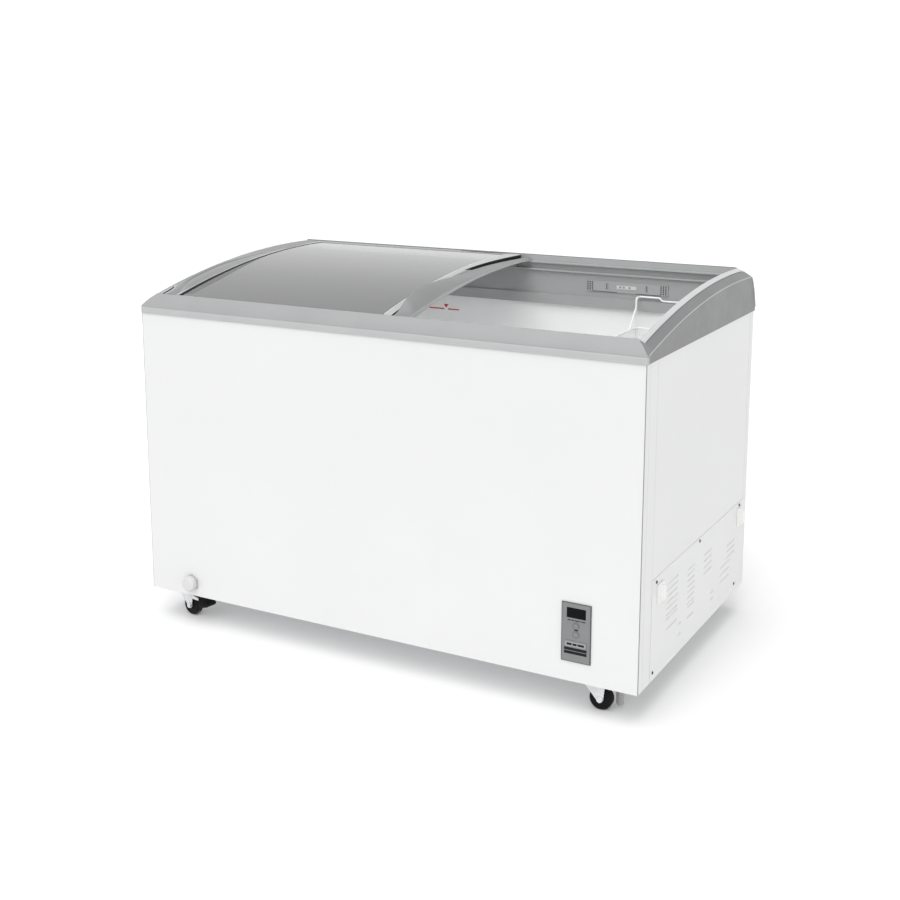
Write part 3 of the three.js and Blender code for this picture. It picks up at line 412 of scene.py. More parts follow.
# ------------------------------------------------------------------ CAD nodes that stay
def paint_cad():
    """Finish, rounding and the rounding's segments for every CAD node that shows."""
    paint("front_panel", "white_enamel", 0.7, 3)
    for name in ("left_side_panel", "right_side_panel", "rear_panel"):
        paint(name, "white_enamel", 0.5, 2)
    paint("vent_cover", "white_enamel", 0.5, 2)
    paint("inner_liner", "liner_enamel", 0.9, 3)
    paint("base_plate", "zinc", 0.4, 2)
    paint("foam_insulation", "foam")
    paint("evaporator_tube", "copper")
    paint("discharge_tube", "copper")
    paint("drain_pipe", "white_plastic")
    paint("drain_spout", "spout_plastic", 0.6, 2)
    paint("drain_cap", "cap_plastic", 0.8, 3)
    paint("control_board", "board", 0.2, 1)
    paint("control_bezel", "panel_plastic", 0.5, 3)
    paint("display_window", "black_gloss", 0.3, 2)
    for name in ("up_button", "down_button"):
        paint(name, "panel_plastic", 0.4, 2)
    paint("rear_rail", "frame_plastic", 0.6, 2)
    paint("thermometer_housing", "frame_plastic", 0.3, 2)
    paint("thermometer_window", "window", 0.3, 2)
    paint("right_lid_frame", "frame_plastic", 0.8, 2)
    paint("left_lid_front_trim", "frame_plastic", 0.6, 2)
    paint("left_lid_rear_trim", "frame_plastic", 0.6, 2)
    for name in ("cover_clip_front", "cover_clip_rear"):
        paint(name, "white_plastic", 0.8, 3)
    paint("compressor", "black_enamel", 0.6, 2)
    paint("condenser", "fins", 0.2, 1)
    paint("fan_shroud", "fins", 0.4, 2)
    paint("condenser_fan", "black_plastic", 0.3, 1)
    paint("fan_motor", "motor", 0.6, 2)
    paint("power_inlet", "black_plastic", 0.5, 2)
    for name in ("wall_spacer_left", "wall_spacer_right"):
        paint(name, "rubber", 0.8, 3)
    paint("levelling_foot", "grey_plastic", 0.6, 2)
    for corner in ("front_left", "front_right", "rear_left", "rear_right"):
        paint(corner + "_caster_plate", "zinc", 0.5, 2)
        paint(corner + "_caster_fork", "zinc", 0.4, 2)
        paint(corner + "_caster_axle", "zinc", 0.4, 2)
        paint(corner + "_caster_wheel", "wheel_black", 0.8, 3)


# ------------------------------------------------------------------ top frame
def shoulder_drop(offset):
    """How far the end cap has sunk below the lids' curve, going outwards from the lids."""
    for (x0, d0), (x1, d1) in zip(SHOULDER, SHOULDER[1:]):
        if offset <= x1:
            return d0 + (d1 - d0) * (offset - x0) / (x1 - x0)
    return SHOULDER[-1][1]


def bend3(p0, p1, p2, t):
    """A point on the quadratic curve from p0 to p2 that is pulled towards p1."""
    return tuple((1 - t) ** 2 * a + 2 * t * (1 - t) * b + t * t * c for a, b, c in zip(p0, p1, p2))


def front_slope(t):
    """The front band's outside curve, t from 0 at the lip to 1 at the glass."""
    start, pull, end = (2.6, LEDGE + 0.2), (11, 776), (BAND_DEPTH, BAND_TOP)
    return bend3(*((FRAME_FRONT + depth, z) for depth, z in (start, pull, end)), t)


def rear_slope(t):
    """The rear's outside curve, t from 0 at the crest to 1 at the bottom."""
    return bend3((287.0, CREST), (340.0, 834.0), (FRAME_REAR - 0.4, 754.0), t)


def outside_height(y):
    """Height of the frame's outside at depth y: the front slope, then the lids' curve."""
    if y > FRAME_FRONT + BAND_DEPTH:
        return arc(y)
    return next(z for depth, z in (front_slope(t) for t in steps(0, 1, 200)) if depth >= y)


def mitre(offset):
    """Where on the front slope the side's shoulder takes over, as t."""
    low, high = 0.0, 1.0
    for _ in range(30):
        t = (low + high) / 2
        y, z = front_slope(t)
        low, high = (t, high) if z < arc(y) - shoulder_drop(offset) else (low, t)
    return high


def plan_corner(x):
    """How far the rounded corner seen from above has moved back at x."""
    into = max(0.0, abs(x) - (FRAME_X - CORNER_RADIUS))
    return CORNER_RADIUS - math.sqrt(max(0.0, CORNER_RADIUS ** 2 - into ** 2))


def mirrored(xs):
    """Places to the left, outermost first, and then the same to the right."""
    return [-x for x in reversed(xs)] + xs


def build_band():
    """The sloping band along the front and the paler lip in front of it."""
    sides = [CAP_INNER + o for o in (4, 8, 11.5, 15, 18, 21.5, 23, 25, 26.5, 27.7, 28.5, CAP_WIDE)]
    face = [
        (0, CABINET_TOP), (0, LEDGE - 2.2), (0.25, LEDGE - 1.1), (0.9, LEDGE - 0.35), (1.8, LEDGE),
        (3.6, LEDGE), (3.6, CABINET_TOP)]
    rings, lip = [], []
    for x in mirrored([CAP_INNER] + sides):
        back = FRAME_FRONT + plan_corner(x)
        end = mitre(abs(x) - CAP_INNER) if abs(x) > CAP_INNER else 1.0
        slope = [front_slope(end * t) for t in steps(0, 1, 12)]
        edge = [(FRAME_FRONT + 2.6, CABINET_TOP + 0.2)] + slope
        ring = [(x, max(y, back + 0.6), z) for y, z in edge]
        last = ring[-1]
        rings.append(ring + [(x, last[1] + 0.3, last[2] - 0.2), (x, last[1] + 0.3, CABINET_TOP + 0.2)])
        lip.append([(x, back + d, z) for d, z in face])
    band = Shape().loft(rings)
    band.make("front_band", "cabinet", "band_plastic", "frame_plastic", ["front_rail"], angle=50)
    Shape().loft(lip).make("front_lip", "cabinet", "lip_plastic_and_ridge_highlight", "frame_plastic", ["front_rail"])


def front_rail_inside():
    """The part of the front rail behind the band: glass shelf, two lid grooves, basket ledge and skirt."""
    x = CAP_INNER - GAP
    outline = [
        (FRAME_FRONT + 29, 788.4), (-330.5, 787.8), (-330.5, 774.6), (-319, 774.6), (-319, 772.4),
        (-330.5, 772.4), (-330.5, 757.5), (-317, 757.5), (-317, 755), (-305, 755), (-299, 752), (-297, 748),
        (-297, 744.5), (FRAME_FRONT + 5, 744.5), (FRAME_FRONT + 5, 757), (FRAME_FRONT + 20, 780),
    ]
    shape = Shape().prism_x(outline, -x, x).box(-566, 566, -300.5, -297, 734, 744.6)
    shape.make("front_rail_inside", "cabinet", "frame_plastic", "frame_plastic", ["front_rail"], 0.6, 2)


def end_cap(side, name):
    """An end cap: dark shell, pale strip beside the lids, the seam between them and the ridge outside."""
    level = steps(FRAME_FRONT + 33, 284, 44)
    depths = [FRAME_FRONT + 6.5] + steps(FRAME_FRONT + 8, FRAME_FRONT + 29, 8) + level
    rear = [rear_slope(t) for t in steps(0.02, 1, 16)]
    out = CAP_INNER + CAP_WIDE
    shell, strip, bead = [], [], []
    for y, edge in [(y, outside_height(y)) for y in depths] + rear:
        def top(offset):
            return min(edge, arc(y) - shoulder_drop(offset))

        on_slope = y < FRAME_FRONT + BAND_DEPTH
        if on_slope:
            # The cap starts where its shoulder comes below the front band
            sunk = (o for o in steps(0, CAP_WIDE, 290) if arc(y) - shoulder_drop(o) <= edge + 0.02)
            first = begin = min(next(sunk, CAP_WIDE), 28.2)
        else:
            first, begin = 0, STRIP_WIDE
        crest = top(CAP_WIDE)
        body = [
            (CAP_INNER + first, CABINET_TOP + 0.2), (out - 1.3, CABINET_TOP + 0.2),
            (out - 1.3, crest - 2.0), (CAP_INNER + 28.4, top(28.4))]
        for k in (6, 5, 4, 3, 2, 1):
            o = begin + (27 - begin) * k / 6
            body.append((CAP_INNER + o, top(o)))
        body += [(CAP_INNER + begin + 0.6, top(begin + 0.6) - 0.6), (CAP_INNER + first, top(begin) - 2.4)]
        shell.append([(side * x, y, z) for x, z in body])
        bead.append([(side * (out + d), y, crest + lift) for d, lift in (
            (-1.4, -1.6), (-0.3, -1.3), (0, -0.4), (-0.3, 0.5), (-1.2, 0.9))])
        if not on_slope:
            wide = STRIP_WIDE
            strip.append([(side * (CAP_INNER + o), y, top(o) + lift) for o, lift in (
                (0, -3.0), (wide + 0.2, -2.0), (wide + 0.4, -0.6), (wide - 0.2, 0.1), (wide * 0.66, 0.35),
                (wide * 0.33, 0.35), (1.4, 0.15), (0.5, -0.3), (0, -1.2))])
    seam = []
    for y in level:
        near, far = (arc(y) - shoulder_drop(STRIP_WIDE + o) for o in (0.3, 1.3))
        seam.append([(side * (CAP_INNER + STRIP_WIDE + o), y, z) for o, z in (
            (0.3, near + 0.1), (1.3, far + 0.12), (1.3, far - 0.6), (0.3, near - 0.6))])
    hidden = [name + "_end_cap"]
    piece = Shape().loft(shell).make(
        name + "_cap_shell", "cabinet", "dark_frame", "dark_frame_plastic", hidden, angle=40)
    # The faces that look up, behind the front slope, get a darker copy of the shell's finish: painted shade
    piece.data.materials.append(MAT["cap_bevel_painted_shade"])
    behind_slope = FRAME_FRONT * 0.001 + 0.03
    for face in piece.data.polygons:
        face.material_index = 1 if face.normal.z > 0.35 and face.center.y > behind_slope else 0
    for rings, part, material, slot in (
            (seam, "_cap_seam", "print_grey", "dark_frame_plastic"),
            (strip, "_cap_strip", "light_trim", "frame_plastic"),
            # The ridge is a real bead, but its finish is paler than the shell's: painted highlight along
            # the cap's outer edge
            (bead, "_cap_ridge", "lip_plastic_and_ridge_highlight", "frame_plastic")):
        Shape().loft(rings).make(name + part, "cabinet", material, slot, hidden, angle=50)


def line_grooves():
    """Pale strips along the rear rail's two lid grooves, painted light that lifts their shade, and the dark
    trim on its crest.
    """
    x = CAP_INNER - GAP - 1
    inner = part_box("rear_rail")[0].y * 1000 + 12.5
    # Pale lining in the grooves: painted light that lifts the shade in their recesses
    strips = Shape()
    for floor, roof in ((836.5, 851.2), (819.5, 834.0)):
        strips.prism_x([
            (inner - 12, floor + 0.02), (inner - 12, floor + 0.3), (inner - 0.4, floor + 0.3),
            (inner - 0.4, roof), (inner - 0.05, roof), (inner - 0.05, floor + 0.02)], -x, x)
    strips.make("rear_groove_painted_light", "cabinet", "groove_painted_light", "frame_plastic")
    crest = Shape().prism_x([
        (inner + 0.1, 851.8), (inner + 0.1, CREST), (inner + 1.2, 852.8), (inner + 7.8, 852.5),
        (inner + 8.6, 852.0), (inner + 8.6, 851.4)], -x, x)
    crest.make("rear_crest_trim", "cabinet", "dark_frame", "dark_frame_plastic", angle=50)


def build_frame():
    """Everything of the top frame that replaces or covers its plain CAD nodes."""
    build_band()
    line_grooves()
    front_rail_inside()
    end_cap(-1, "left")
    end_cap(1, "right")


# ------------------------------------------------------------------ lids
def leaf_height(y, end):
    """Height of an arm's raised leaf at depth y: it rises near the front, then falls until end."""
    return LEAF_HEIGHT * ease((y + 322) / 50) * (1 - ease((y + 220) / (end + 220)))


def outer_grip(y):
    """Left to right across the left lid's outer grip: rim, slot, raised leaf, slot and rim by the glass."""
    h = leaf_height(y, 110)
    a = 21 - 16 * ease((y + 305) / 45)
    b = 51 - 11 * ease((y - 60) / 200)
    front = SLOT_DEPTH * (1 - ease((y + 300) / 25))
    rear = SLOT_DEPTH * ease((y - 90) / 60)
    wide = b - 5 - a
    leaf = [
        (a + wide * t, 0.2 + (h - 0.2) * (0.5 - 0.5 * math.cos(math.pi * t)) ** 0.8)
        for t in steps(0, 1, 8)]
    return [
        (0, -THICK), (0, -1.8), (0.3, -0.8), (1, -0.2),
        (a * 0.36, 0), (a * 0.4, -0.3), (a * 0.42, -front), (a * 0.66, -front), (a * 0.68, -0.3),
        (a * 0.74, 0.1), *leaf, (b - 3, h * 0.98), (b - 1.8, h * 0.86), (b - 1.1, h * 0.55 - 0.5),
        (b, -0.6 - rear), (b + 1.6, -0.6 - rear), (b + 2.0, -0.7), (b + 2.6, -0.3),
        (54, -0.3), (54.6, -0.6), (55, -1.6), (55, -THICK),
    ]


def inner_grip(y):
    """Left to right across the centre grip: rim by the glass, slot, and leaf falling to the thin edge."""
    h = leaf_height(y, 0)
    drop = 3 + 8.5 * (y - LID_FRONT) / (LID_REAR - LID_FRONT)
    a = 25 - 5 * ease((y + 300) / 60) + 22 * ease((y + 10) / 270)
    slot = SLOT_DEPTH * max(1 - ease((y + 300) / 40), ease((y - 5) / 60))
    sunk = (1 - h / LEAF_HEIGHT) * ease((y + 250) / 300) * drop
    wide = 60 - a - 8

    def fall(t):
        here = h * 0.96 - sunk * 0.65
        return here + (-drop - here) * (t * 0.6 + 0.4 * t * t)

    leaf = [(a + 8 + wide * t, fall(t)) for t in steps(0, 1, 10)]
    return [
        (0, -THICK), (0, -1.8), (0.3, -0.8), (1, -0.3), (a * 0.5, 0), (a * 0.74, -0.1), (a * 0.79, -0.5),
        (a * 0.80, -slot - 0.5), (a - 0.6, -slot - 0.5), (a, h * 0.3 - 1 - sunk * 0.6),
        (a + 1.6, h * 0.75 - 0.6 - sunk * 0.6), (a + 3.8, h * 0.95 - 0.2 - sunk * 0.6),
        (a + 6, h - sunk * 0.6), *leaf, (61.2, -drop - 0.4), (61.7, -drop - 1.3), (61.7, -THICK),
    ]


def grip(name, x0, section, leaf, slots, node_name):
    """An arm of the left lid, the darker skin over its leaf and the black floors of its slots, both painted
    shade.

    leaf is the range of the section's points that are the leaf. Each slot is its first point in the
    section and where it starts and ends in depth.
    """
    depths = steps(LID_FRONT, LID_REAR, 110)
    arm = Shape().loft([[(x0 + x, y, arc(y) + z) for x, z in section(y)] for y in depths])
    arm.make(name, "left_lid", "grip_plastic", "frame_plastic", [node_name], angle=32)
    skin = []
    # The skin is a darker copy of the grip's finish: painted shade on the leaf
    for y in depths:
        top = section(y)[slice(*leaf)]
        over = [(x0 + x, y, arc(y) + z + 0.25) for x, z in top]
        under = [(x0 + x, y, arc(y) + z - 0.6) for x, z in reversed(top)]
        skin.append(over + under)
    cover = Shape().loft(skin)
    cover.make(name + "_leaf", "left_lid", "leaf_painted_shade", "frame_plastic", [node_name], angle=40)
    # Black floors in the slots: painted shade in the recesses
    floors = Shape()
    for first, (y0, y1) in slots:
        rows = []
        for y in steps(y0, y1, 30):
            wall = section(y)[first:first + 3]
            over = [(x0 + x + 0.35, y, arc(y) + z + lift) for (x, z), lift in zip(wall, (-0.2, 0.4, 0.4))]
            under = [(x0 + x - 0.3, y, arc(y) + z - 0.4) for x, z in reversed(wall)]
            rows.append(over + under)
        floors.loft(rows)
    floors.make(name + "_slot", "left_lid", "black_seal_shade_and_reflection", "black_plastic", [node_name], angle=40)


def curved_sheet(name, body, material, slot, across, along, drop, thick, hidden=()):
    """A pane that follows the lids' curve, drop below it, with its reach in x (across) and y (along)."""
    depths = steps(*along, 60)
    outline = [(y, arc(y) - drop - thick) for y in depths] + [(y, arc(y) - drop) for y in reversed(depths)]
    Shape().prism_x(outline, *across).make(name, body, material, slot, hidden, angle=50)


def build_lids():
    """The left lid's arms, glass, seals and rear pull, and the right lid's glass."""
    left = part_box("left_lid_outer_grip")[0].x * 1000
    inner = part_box("left_lid_inner_grip")[0].x * 1000
    low, high = (p.x * 1000 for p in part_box("left_lid_glass"))
    glass_rear = LID_REAR - 20
    # Thin pale strips on both arms beside the glass: painted highlight along the arms' edges
    for name, x in (("left_lid_highlight_left", left + 52.8), ("left_lid_highlight_right", inner + 0.5)):
        curved_sheet(name, "left_lid", "rim_painted_highlight", "frame_plastic", (x, x + 1.9),
                     (LID_FRONT + 2, LID_REAR - 6), -0.15, 1.2)
    outer_slots = ((5, (LID_FRONT + 1, -282)), (21, (100, LID_REAR - 4)))
    grip("left_lid_grip_outer", left, outer_grip, (10, 21), outer_slots, "left_lid_outer_grip")
    inner_slots = ((6, (LID_FRONT + 1, -268)), (6, (14, LID_REAR - 4)))
    grip("left_lid_grip_inner", inner, inner_grip, (9, 25), inner_slots, "left_lid_inner_grip")
    curved_sheet("left_lid_pane", "left_lid", "glass", "lid_glass", (low + 4.2, high - 2),
                 (LID_FRONT, glass_rear), 1.5, 4, ["left_lid_glass"])
    for name, across in (("left_lid_seal_left", (low + 0.1, low + 4)),
                         ("left_lid_seal_right", (high - 1.8, high - 0.1))):
        curved_sheet(name, "left_lid", "black_seal_shade_and_reflection", "black_rubber", across,
                     (LID_FRONT + 1, glass_rear), 1.1, 4.4)
    # A black band inside the left seal, widest at the front: painted reflection of the outer arm in the
    # glass
    reflection_band = []
    for y in steps(LID_FRONT + 1, 120, 40):
        width = 4.2 + 7 * (1 - ease((y - LID_FRONT) / 420))
        section = ((4, 1.3), (width, 1.3), (width, 1.7), (4, 1.7))
        reflection_band.append([(low + x, y, arc(y) - z) for x, z in section])
    Shape().loft(reflection_band).make("left_lid_painted_reflection", "left_lid", "black_seal_shade_and_reflection", "lid_glass", ["left_lid_glass"])
    middle, half = -52, 70
    top = [(middle + half * t, 280.2 + 0.5 * (1 - t * t)) for t in steps(-1, 1, 24)]
    base = [(middle + half * t, 279.6 - 12 * (1 - t * t) ** 0.7) for t in reversed(steps(-0.98, 0.98, 24))]
    pull = Shape().loft([[(x, y, arc(y) + z) for x, y in top + base] for z in (-1.0, 0.25)])
    pull.make("left_lid_rear_pull", "left_lid", "black_seal_shade_and_reflection", "black_plastic")
    place = (inner + 57, 268, arc(268) - 11.2)
    plug = Shape().lathe([(2.6, 0), (2.6, 0.5), (1.8, 0.9), (0.6, 1.0)], place, "z", 20)
    plug.make("left_lid_rear_plug", "left_lid", "black_seal_shade_and_reflection", "black_plastic")
    across = [p.x * 1000 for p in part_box("right_lid_glass")]
    curved_sheet("right_lid_pane", "right_lid", "glass_lower", "lid_glass", across,
                 (LID_FRONT + GAP, glass_rear - GAP), LOWER_DROP + 1.5, 4, ["right_lid_glass"])


# ------------------------------------------------------------------ tub edge
def build_tub_edge():
    """Strips that close the tub's flange against the end caps, over the foam."""
    low, high = (p * 1000 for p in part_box("inner_liner"))
    section = ((0.1, -1.8), (8.8, -1.8), (8.8, 0.5), (0.1, 0))
    for side, name in ((-1, "tub_edge_left"), (1, "tub_edge_right")):
        outline = [(side * (high.x + x), high.z + z) for x, z in section]
        Shape().prism_y(outline, low.y, high.y).make(name, "cabinet", "liner_enamel", "liner_enamel")


# ------------------------------------------------------------------ wire basket
def rounded_route(points, radius=8):
    """Rounds the corners of a wire's route."""
    path = [Vector(p) for p in points]
    out = [path[0]]
    for a, b, c in zip(path, path[1:], path[2:]):
        u, v = (a - b), (c - b)
        cut = min(radius, u.length / 2.2, v.length / 2.2)
        p, q = b + u.normalized() * cut, b + v.normalized() * cut
        out += [p.lerp(b, t).lerp(b.lerp(q, t), t) for t in steps(0, 1, 5)]
    return [tuple(p) for p in out + [path[-1]]]


def build_basket():
    """A tapered basket of thin wires with a thick rim, and the two wires that it hangs on."""
    x0, x1, y0, y1 = 366, 556, -285, 254
    floor, rim = 502, 700
    taper = 14
    corner = 14
    rim_wire, hanger_wire, thin_wire = 2.5, 2.4, 1.1
    wires = Shape()

    def hoop(inset, z, radius):
        """A rounded rectangle of wire, inset from the rim's outside."""
        edge = rim_wire + inset
        a, b = x0 + edge + corner, x1 - edge - corner
        c, d = y0 + edge + corner, y1 - edge - corner
        ring = []
        for cx, cy, start in ((b, d, 0), (a, d, 90), (a, c, 180), (b, c, 270)):
            for k in range(7):
                t = math.radians(start + 15 * k)
                ring.append((cx + corner * math.cos(t), cy + corner * math.sin(t), z))
        wires.tube(ring + ring[:2], radius, 8)

    hoop(0, rim - rim_wire, rim_wire)
    hoop(1.5, rim - 24, 1.4)
    for k in range(1, 5):
        hoop(1.5 + taper * k / 5, rim - 24 - 34 * k, 1.2)
    hoop(taper, floor, 2.0)
    lean = 2.2 + taper
    for x in steps(x0, x1, 21)[1:-1]:
        wires.tube([
            (x, y0 + 3, rim - 3), (x, y0 + lean, floor),
            (x, y1 - lean, floor), (x, y1 - 3, rim - 3)], thin_wire, 6)
    for y in steps(y0, y1, 46)[1:-1]:
        wires.tube([
            (x0 + 3, y, rim - 3), (x0 + lean, y, floor + 2),
            (x1 - lean, y, floor + 2), (x1 - 3, y, rim - 3)], thin_wire, 6)

    def hanger(wall, out, ledge, lift):
        """A wire from the rim out onto its ledge, raised by lift at the left, and its two braces."""
        left, right = x0 + rim_wire, x1 - rim_wire
        wires.tube(rounded_route([
            (left, wall, rim - 60), (left, wall, ledge + lift), (left, out, ledge + lift),
            (left + 50, out, ledge + lift), (left + 56, out, ledge), (right, out, ledge),
            (right, wall, ledge), (right, wall, rim - 60)]), hanger_wire, 10)
        back = math.copysign(42, wall)
        for x in (left, right):
            wires.tube([(x, wall - back, rim - 3), (x, wall - back * 0.1, ledge - 18)], 2.0, 8)

    hanger(y1 - rim_wire, 275, 762, 7)
    hanger(y0 + rim_wire, -309, 758, 0)
    wires.make("wire_basket", "basket", "wire_white", "white_coated_wire", ["basket"], angle=40)


# ------------------------------------------------------------------ foot brake
def build_brake():
    """A ribbed black pad to the right of the front left wheel, on two bright arms from the pivot."""
    plate = [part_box("front_left_caster_plate")[k] * 1000 for k in (0, 1)]
    middle = (plate[0] + plate[1]) / 2
    place = Matrix.Translation((middle.x / 1000, middle.y / 1000, 0))
    turn = place @ Matrix.Rotation(math.radians(-10), 4, "Z")
    hidden = ["front_left_brake_pedal"]
    back, half = 44, 14.4
    outline = [
        (3, 51), (16, 49.5), (30, 46), (34.6, 43.5), (36, 40.5), (35.6, 37), (33, 34), (12, 27.6), (6, 28),
        (3, 30.5)]
    pad = Shape().loft([[(back + x, y, z) for x, z in outline] for y in (-half, half)])
    for k, (z0, z1) in enumerate(((30.6, 38.2), (34.6, 39.6), (38.8, 41.0), (43.2, 42.4), (47.4, 43.8))):
        ends = ((back + 5 + 0.5 * k, z0), (back + 31 - abs(k - 2) * 1.5, z1))
        for y in (-half - 0.9, half - 0.6):
            pad.loft([[(x, y, z - 0.8), (x, y + 1.5, z - 0.8), (x, y + 1.5, z + 0.8), (x, y, z + 0.8)]
                      for x, z in ends])
    for x in steps(back + 8, back + 29, 6):
        top = 50.8 - (x - back - 3) * 0.17
        pad.box(x - 0.9, x + 0.9, -half + 1, half - 1, top - 1, top + 0.9)
    pad.make("front_left_brake_pad", "front_left_brake", "wheel_black", "black_plastic", hidden, 0.7, 2,
             turn=turn)
    arm = [(18, 46), (18, 53), (24, 54.5), (back + 5, 51), (back + 5, 45), (26, 45)]
    arms = Shape()
    for y in (-15.2, 13.0):
        arms.prism_y(arm, y, y + 2.2)
        pin = (22, y + 1.1 + math.copysign(1.0, y), 49)
        arms.lathe([(3.2, -0.9), (3.2, 0.6), (2.2, 1.1)], pin, "y", 18)
    arms.make("front_left_brake_arms", "front_left_brake", "zinc", "zinc_steel", hidden, 0.4, 2, turn=turn)


# ------------------------------------------------------------------ prints and small pieces
def build_load_line():
    """Two red dashes with a small triangle between them, on the tub's rear wall."""
    flange, room, thick = 20, 0.05, 0.35
    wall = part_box("inner_liner")[1].y * 1000 - flange - room
    depth = (wall - thick, wall)
    line = Shape().box(-215, -170.5, *depth, 694, 697).box(-159.5, -127, *depth, 694, 697)
    line.loft([[(-172, y, 708), (-165, y, 698.5), (-158, y, 708)] for y in depth])
    line.make("load_line", "cabinet", "red_print", "liner_enamel")


def build_panel():
    """Dark rim, dashes under the display, rings round the buttons and a plain striped label."""
    (x0, front, z0), (x1, _, z1) = ([c * 1000 for c in p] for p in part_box("control_bezel"))
    edge, right_edge, over = 0.9, 1.5, 0.3
    rim_depth = (front - 0.2, front + 2.1)

    def mark(shape, across, up, proud):
        """A flat print from x to x and from z to z, standing proud of the panel."""
        shape.box(*across, front - proud, front + 0.1, *up)

    rim = Shape()
    for low, high in ((z0 - over, z0 + edge), (z1 - edge, z1 + over)):
        rim.box(x0 - over, x1 + over, *rim_depth, low, high)
    for left, right in ((x0 - over, x0 + edge), (x1 - right_edge, x1 + 0.4)):
        rim.box(left, right, *rim_depth, z0 + edge, z1 - edge)
    rim.make("panel_rim", "cabinet", "panel_edge", "panel_plastic")
    dark = Shape()
    for dash in ((469, 476), (477.5, 483), (484.5, 494), (495.5, 499), (500.5, 508)):
        mark(dark, dash, (202.2, 204.2), 0.15)
    mark(dark, (484, 492.5), (182, 184.4), 0.15)
    for bar in ((130.5, 136.6), (138.0, 144.2)):
        mark(dark, (462.5, 512), bar, 0.2)
    for stripe in ((468, 479), (481, 490), (492, 506)):
        mark(dark, stripe, (149.3, 153.8), 0.3)
    dark.make("panel_print", "cabinet", "print_and_hole_shade", "panel_plastic")
    pale = Shape()
    mark(pale, (464.5, 509.5), (146.6, 156.5), 0.15)
    pale.make("panel_label", "cabinet", "label", "panel_plastic")
    lines = Shape()
    ring_x, ring_radius = 488, 7.4
    for z in (192, 174):
        lines.tube([
            (ring_x + ring_radius * math.cos(a), front - 0.1, z + ring_radius * math.sin(a))
            for a in steps(0, 2 * math.pi, 36)], 0.35, 6)
    mark(lines, (462.6, 511.9), (159.5, 160.2), 0.2)
    mark(lines, (511.5, 512.2), (145, 160.2), 0.2)
    lines.make("panel_lines", "cabinet", "print_grey", "panel_plastic")


def build_thermometer():
    """Dark vent holes at both ends of the housing, a dashed edge below it, two marks and three dots."""
    (x0, front, z0), (x1, _, z1) = ([c * 1000 for c in p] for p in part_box("thermometer_housing"))
    holes = Shape()
    # The vent holes are dark patches on the housing's face: painted shade inside the openings
    for x in steps(x0 + 3, x0 + 15, 2) + steps(x1 - 17, x1 - 5, 2):
        for z in steps(z0 + 4, z1 - 4, 4):
            holes.box(x - 1.6, x + 1.6, front - 0.15, front + 1.2, z - 1.3, z + 1.3)
    for x in steps(x0 + 18, x0 + 76, 10) + steps(x1 - 78, x1 - 20, 10):
        holes.box(x - 2, x + 2, front - 0.15, front + 0.6, z0 - 0.2, z0 + 1.1)
    holes.make("thermometer_vents", "cabinet", "print_and_hole_shade", "dark_frame_plastic")
    marks = Shape()
    for x in (x0 + 52, x1 - 54):
        marks.box(x - 1.2, x + 1.2, front - 0.15, front + 0.3, z0 + 6, z1 - 5)
        marks.box(x + 3, x + 3.8, front - 0.15, front + 0.3, z0 + 6, z1 - 5)
    marks.make("thermometer_marks", "cabinet", "print_grey", "dark_frame_plastic")
    scale = Shape()
    for x in (317, 326, 341):
        scale.box(x - 2.4, x + 2.4, front - 0.25, front + 0.2, 785.2, 789.6)
    scale.make("thermometer_scale", "cabinet", "shade_and_print_grey", "clear_window")


def build_sheet_details():
    """Corner shadow lines, the seams of the side sheets, screws, rivets and the felt behind the vents."""
    corner, seams = Shape(), Shape()
    line = ((0.7, -0.12), (-0.12, -0.12), (-0.12, 3.4), (0.3, 3.4), (0.3, 0.3), (0.7, 0.3))
    low, high = CABINET_BOTTOM + 0.5, CABINET_TOP - 0.8
    for side in (-1, 1):
        path = [(side * (HALF_W - inset), -HALF_D + depth) for inset, depth in line]
        corner.loft([[(x, y, z) for x, y in path] for z in (low, high)])
        for y in (-HALF_D + 24, -HALF_D + 66, HALF_D - 25):
            x = sorted((side * (HALF_W - 0.5), side * (HALF_W + 0.15)))
            seams.box(*x, y - 0.6, y + 0.6, low, high)
    # The corner lines are mid grey: painted shade of the rounded front corners
    corner.make("corner_lines", "cabinet", "shade_and_print_grey", "white_enamel")
    seams.make("side_seams", "cabinet", "seam_pale", "white_enamel")
    (_, y0, z0), (cover, y1, z1) = ([c * 1000 for c in p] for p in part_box("vent_cover"))
    head = [(3.6, cover - 0.1), (3.6, cover + 0.7), (2.8, cover + 1.5), (1.2, cover + 1.9)]
    heads = Shape()
    for y, z in ((-276, 88), (281, 92), (7, 283), (-266, 280), (300, 283)):
        heads.lathe(head, (0, y, z), "x", 20)
    heads.make("cover_screws", "cabinet", "screw_dark", "zinc_steel")
    rivet = [(r, HALF_D + h) for r, h in (
        (3.2, -0.1), (3.2, 0.3), (2.6, 0.9), (1.4, 1.3), (1.2, 0.9), (0.5, 0.9))]
    rivets = Shape()
    for x in steps(-HALF_W + 40, HALF_W - 40, 5):
        for z in (CABINET_BOTTOM + 14, CABINET_TOP - 16):
            rivets.lathe(rivet, (x, 0, z), "y", 16)
    rivets.make("rear_rivets", "cabinet", "zinc", "zinc_steel")
    felt = Shape().box(cover - 1.2, cover - 0.8, y0 + 4, y1 - 4, z0 + 6, z1 - 4)
    felt.make("vent_felt", "cabinet", "screen_felt", "foam")


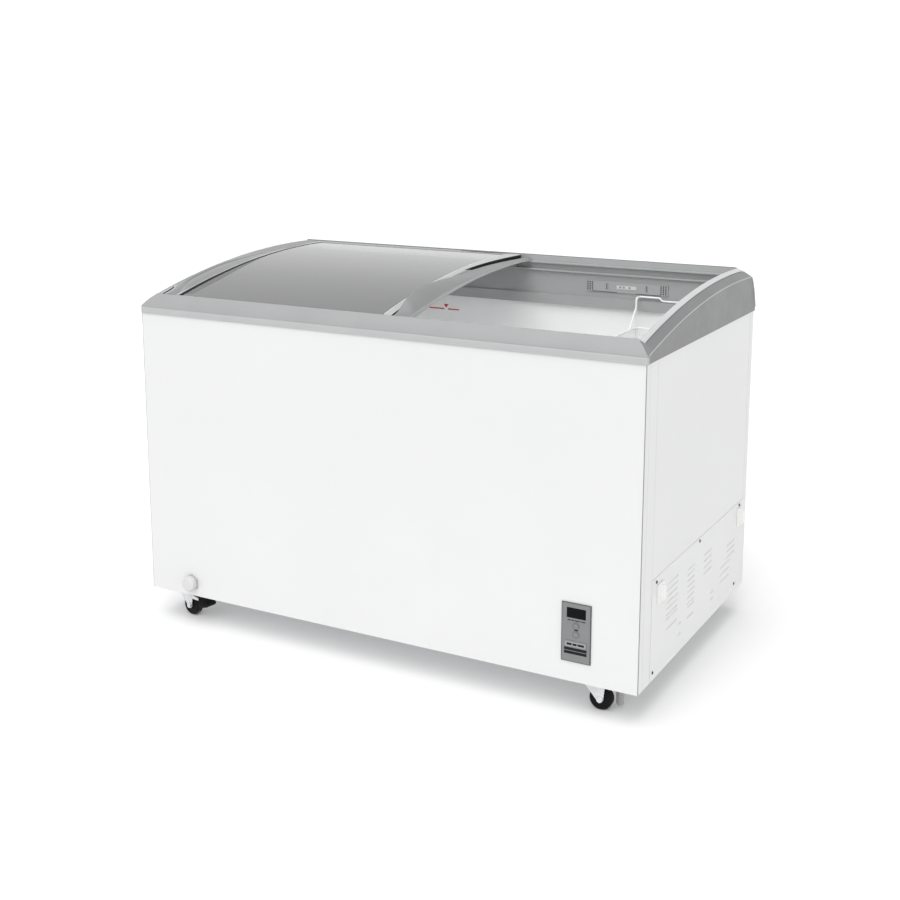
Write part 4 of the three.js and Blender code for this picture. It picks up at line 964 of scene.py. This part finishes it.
# ------------------------------------------------------------------ studio
def build_floor():
    """A plain pale floor that curves up far behind the object; its sizes are in metres."""
    curve = [(-FLOOR_REACH, 0), (9.0, 0), (10.5, 0.2), (11.8, 0.8), (12.6, 1.8), (13.0, 3.2)]
    verts = [(x, y, z) for y, z in curve for x in (-FLOOR_REACH, FLOOR_REACH)]
    faces = [(2 * k, 2 * k + 1, 2 * k + 3, 2 * k + 2) for k in range(len(curve) - 1)]
    mesh = bpy.data.meshes.new("floor")
    mesh.from_pydata(verts, [], faces)
    for face in mesh.polygons:
        face.use_smooth = True
    mesh.materials.append(finish_of(
        "studio_paper", (0.88, 0.88, 0.88), 0.85, grain=200, depth=0.02, mottle=0.004, patch=0.5))
    floor = bpy.data.objects.new("studio_floor", mesh)
    bpy.context.scene.collection.objects.link(floor)
    floor.visible_glossy = False


def build_lights():
    """Three wide suns, and a soft light in the tub that isn't seen itself."""
    for name, (travel, spread, strength) in SUNS.items():
        data = bpy.data.lights.new(name, "SUN")
        data.angle = math.radians(spread)
        data.energy = strength
        lamp = bpy.data.objects.new(name, data)
        lamp.rotation_mode = "QUATERNION"
        lamp.rotation_quaternion = Vector(travel).to_track_quat("-Z", "Y")
        bpy.context.scene.collection.objects.link(lamp)
    glow = bpy.data.lights.new("tub_fill", "AREA")
    glow.shape = "RECTANGLE"
    glow.size, glow.size_y = TUB_LIGHT_SIZE
    glow.energy = TUB_LIGHT
    lamp = bpy.data.objects.new("tub_fill", glow)
    lamp.location = TUB_LIGHT_PLACE
    lamp.rotation_euler = (math.radians(TUB_LIGHT_TILT), 0, 0)
    lamp.visible_camera = False
    lamp.visible_glossy = False
    lamp.visible_transmission = False
    bpy.context.scene.collection.objects.link(lamp)


def build_sky():
    """A sky that is white near the horizon and greyer overhead, for the gloss and the fill."""
    world = bpy.data.worlds.new("studio")
    world.use_nodes = True
    tree = world.node_tree
    sky = tree.nodes["Background"]
    where = node(tree, "ShaderNodeTexCoord")
    split = node(tree, "ShaderNodeSeparateXYZ")
    tree.links.new(where.outputs["Generated"], split.inputs["Vector"])
    fade = node(tree, "ShaderNodeValToRGB")
    stops = fade.color_ramp.elements
    stops[1].position = 1.0
    for height, _ in SKY[1:-1]:
        stops.new(height)
    for stop, (_, level) in zip(stops, SKY):
        stop.color = (level, level, level, 1)
    tree.links.new(split.outputs["Z"], fade.inputs["Fac"])
    tree.links.new(fade.outputs["Color"], sky.inputs["Color"])
    bpy.context.scene.world = world
    bpy.context.scene.view_settings.view_transform = "Standard"


paint_cad()
build_frame()
build_lids()
build_tub_edge()
build_basket()
build_brake()
build_load_line()
build_panel()
build_thermometer()
build_sheet_details()
build_floor()
build_lights()
build_sky()
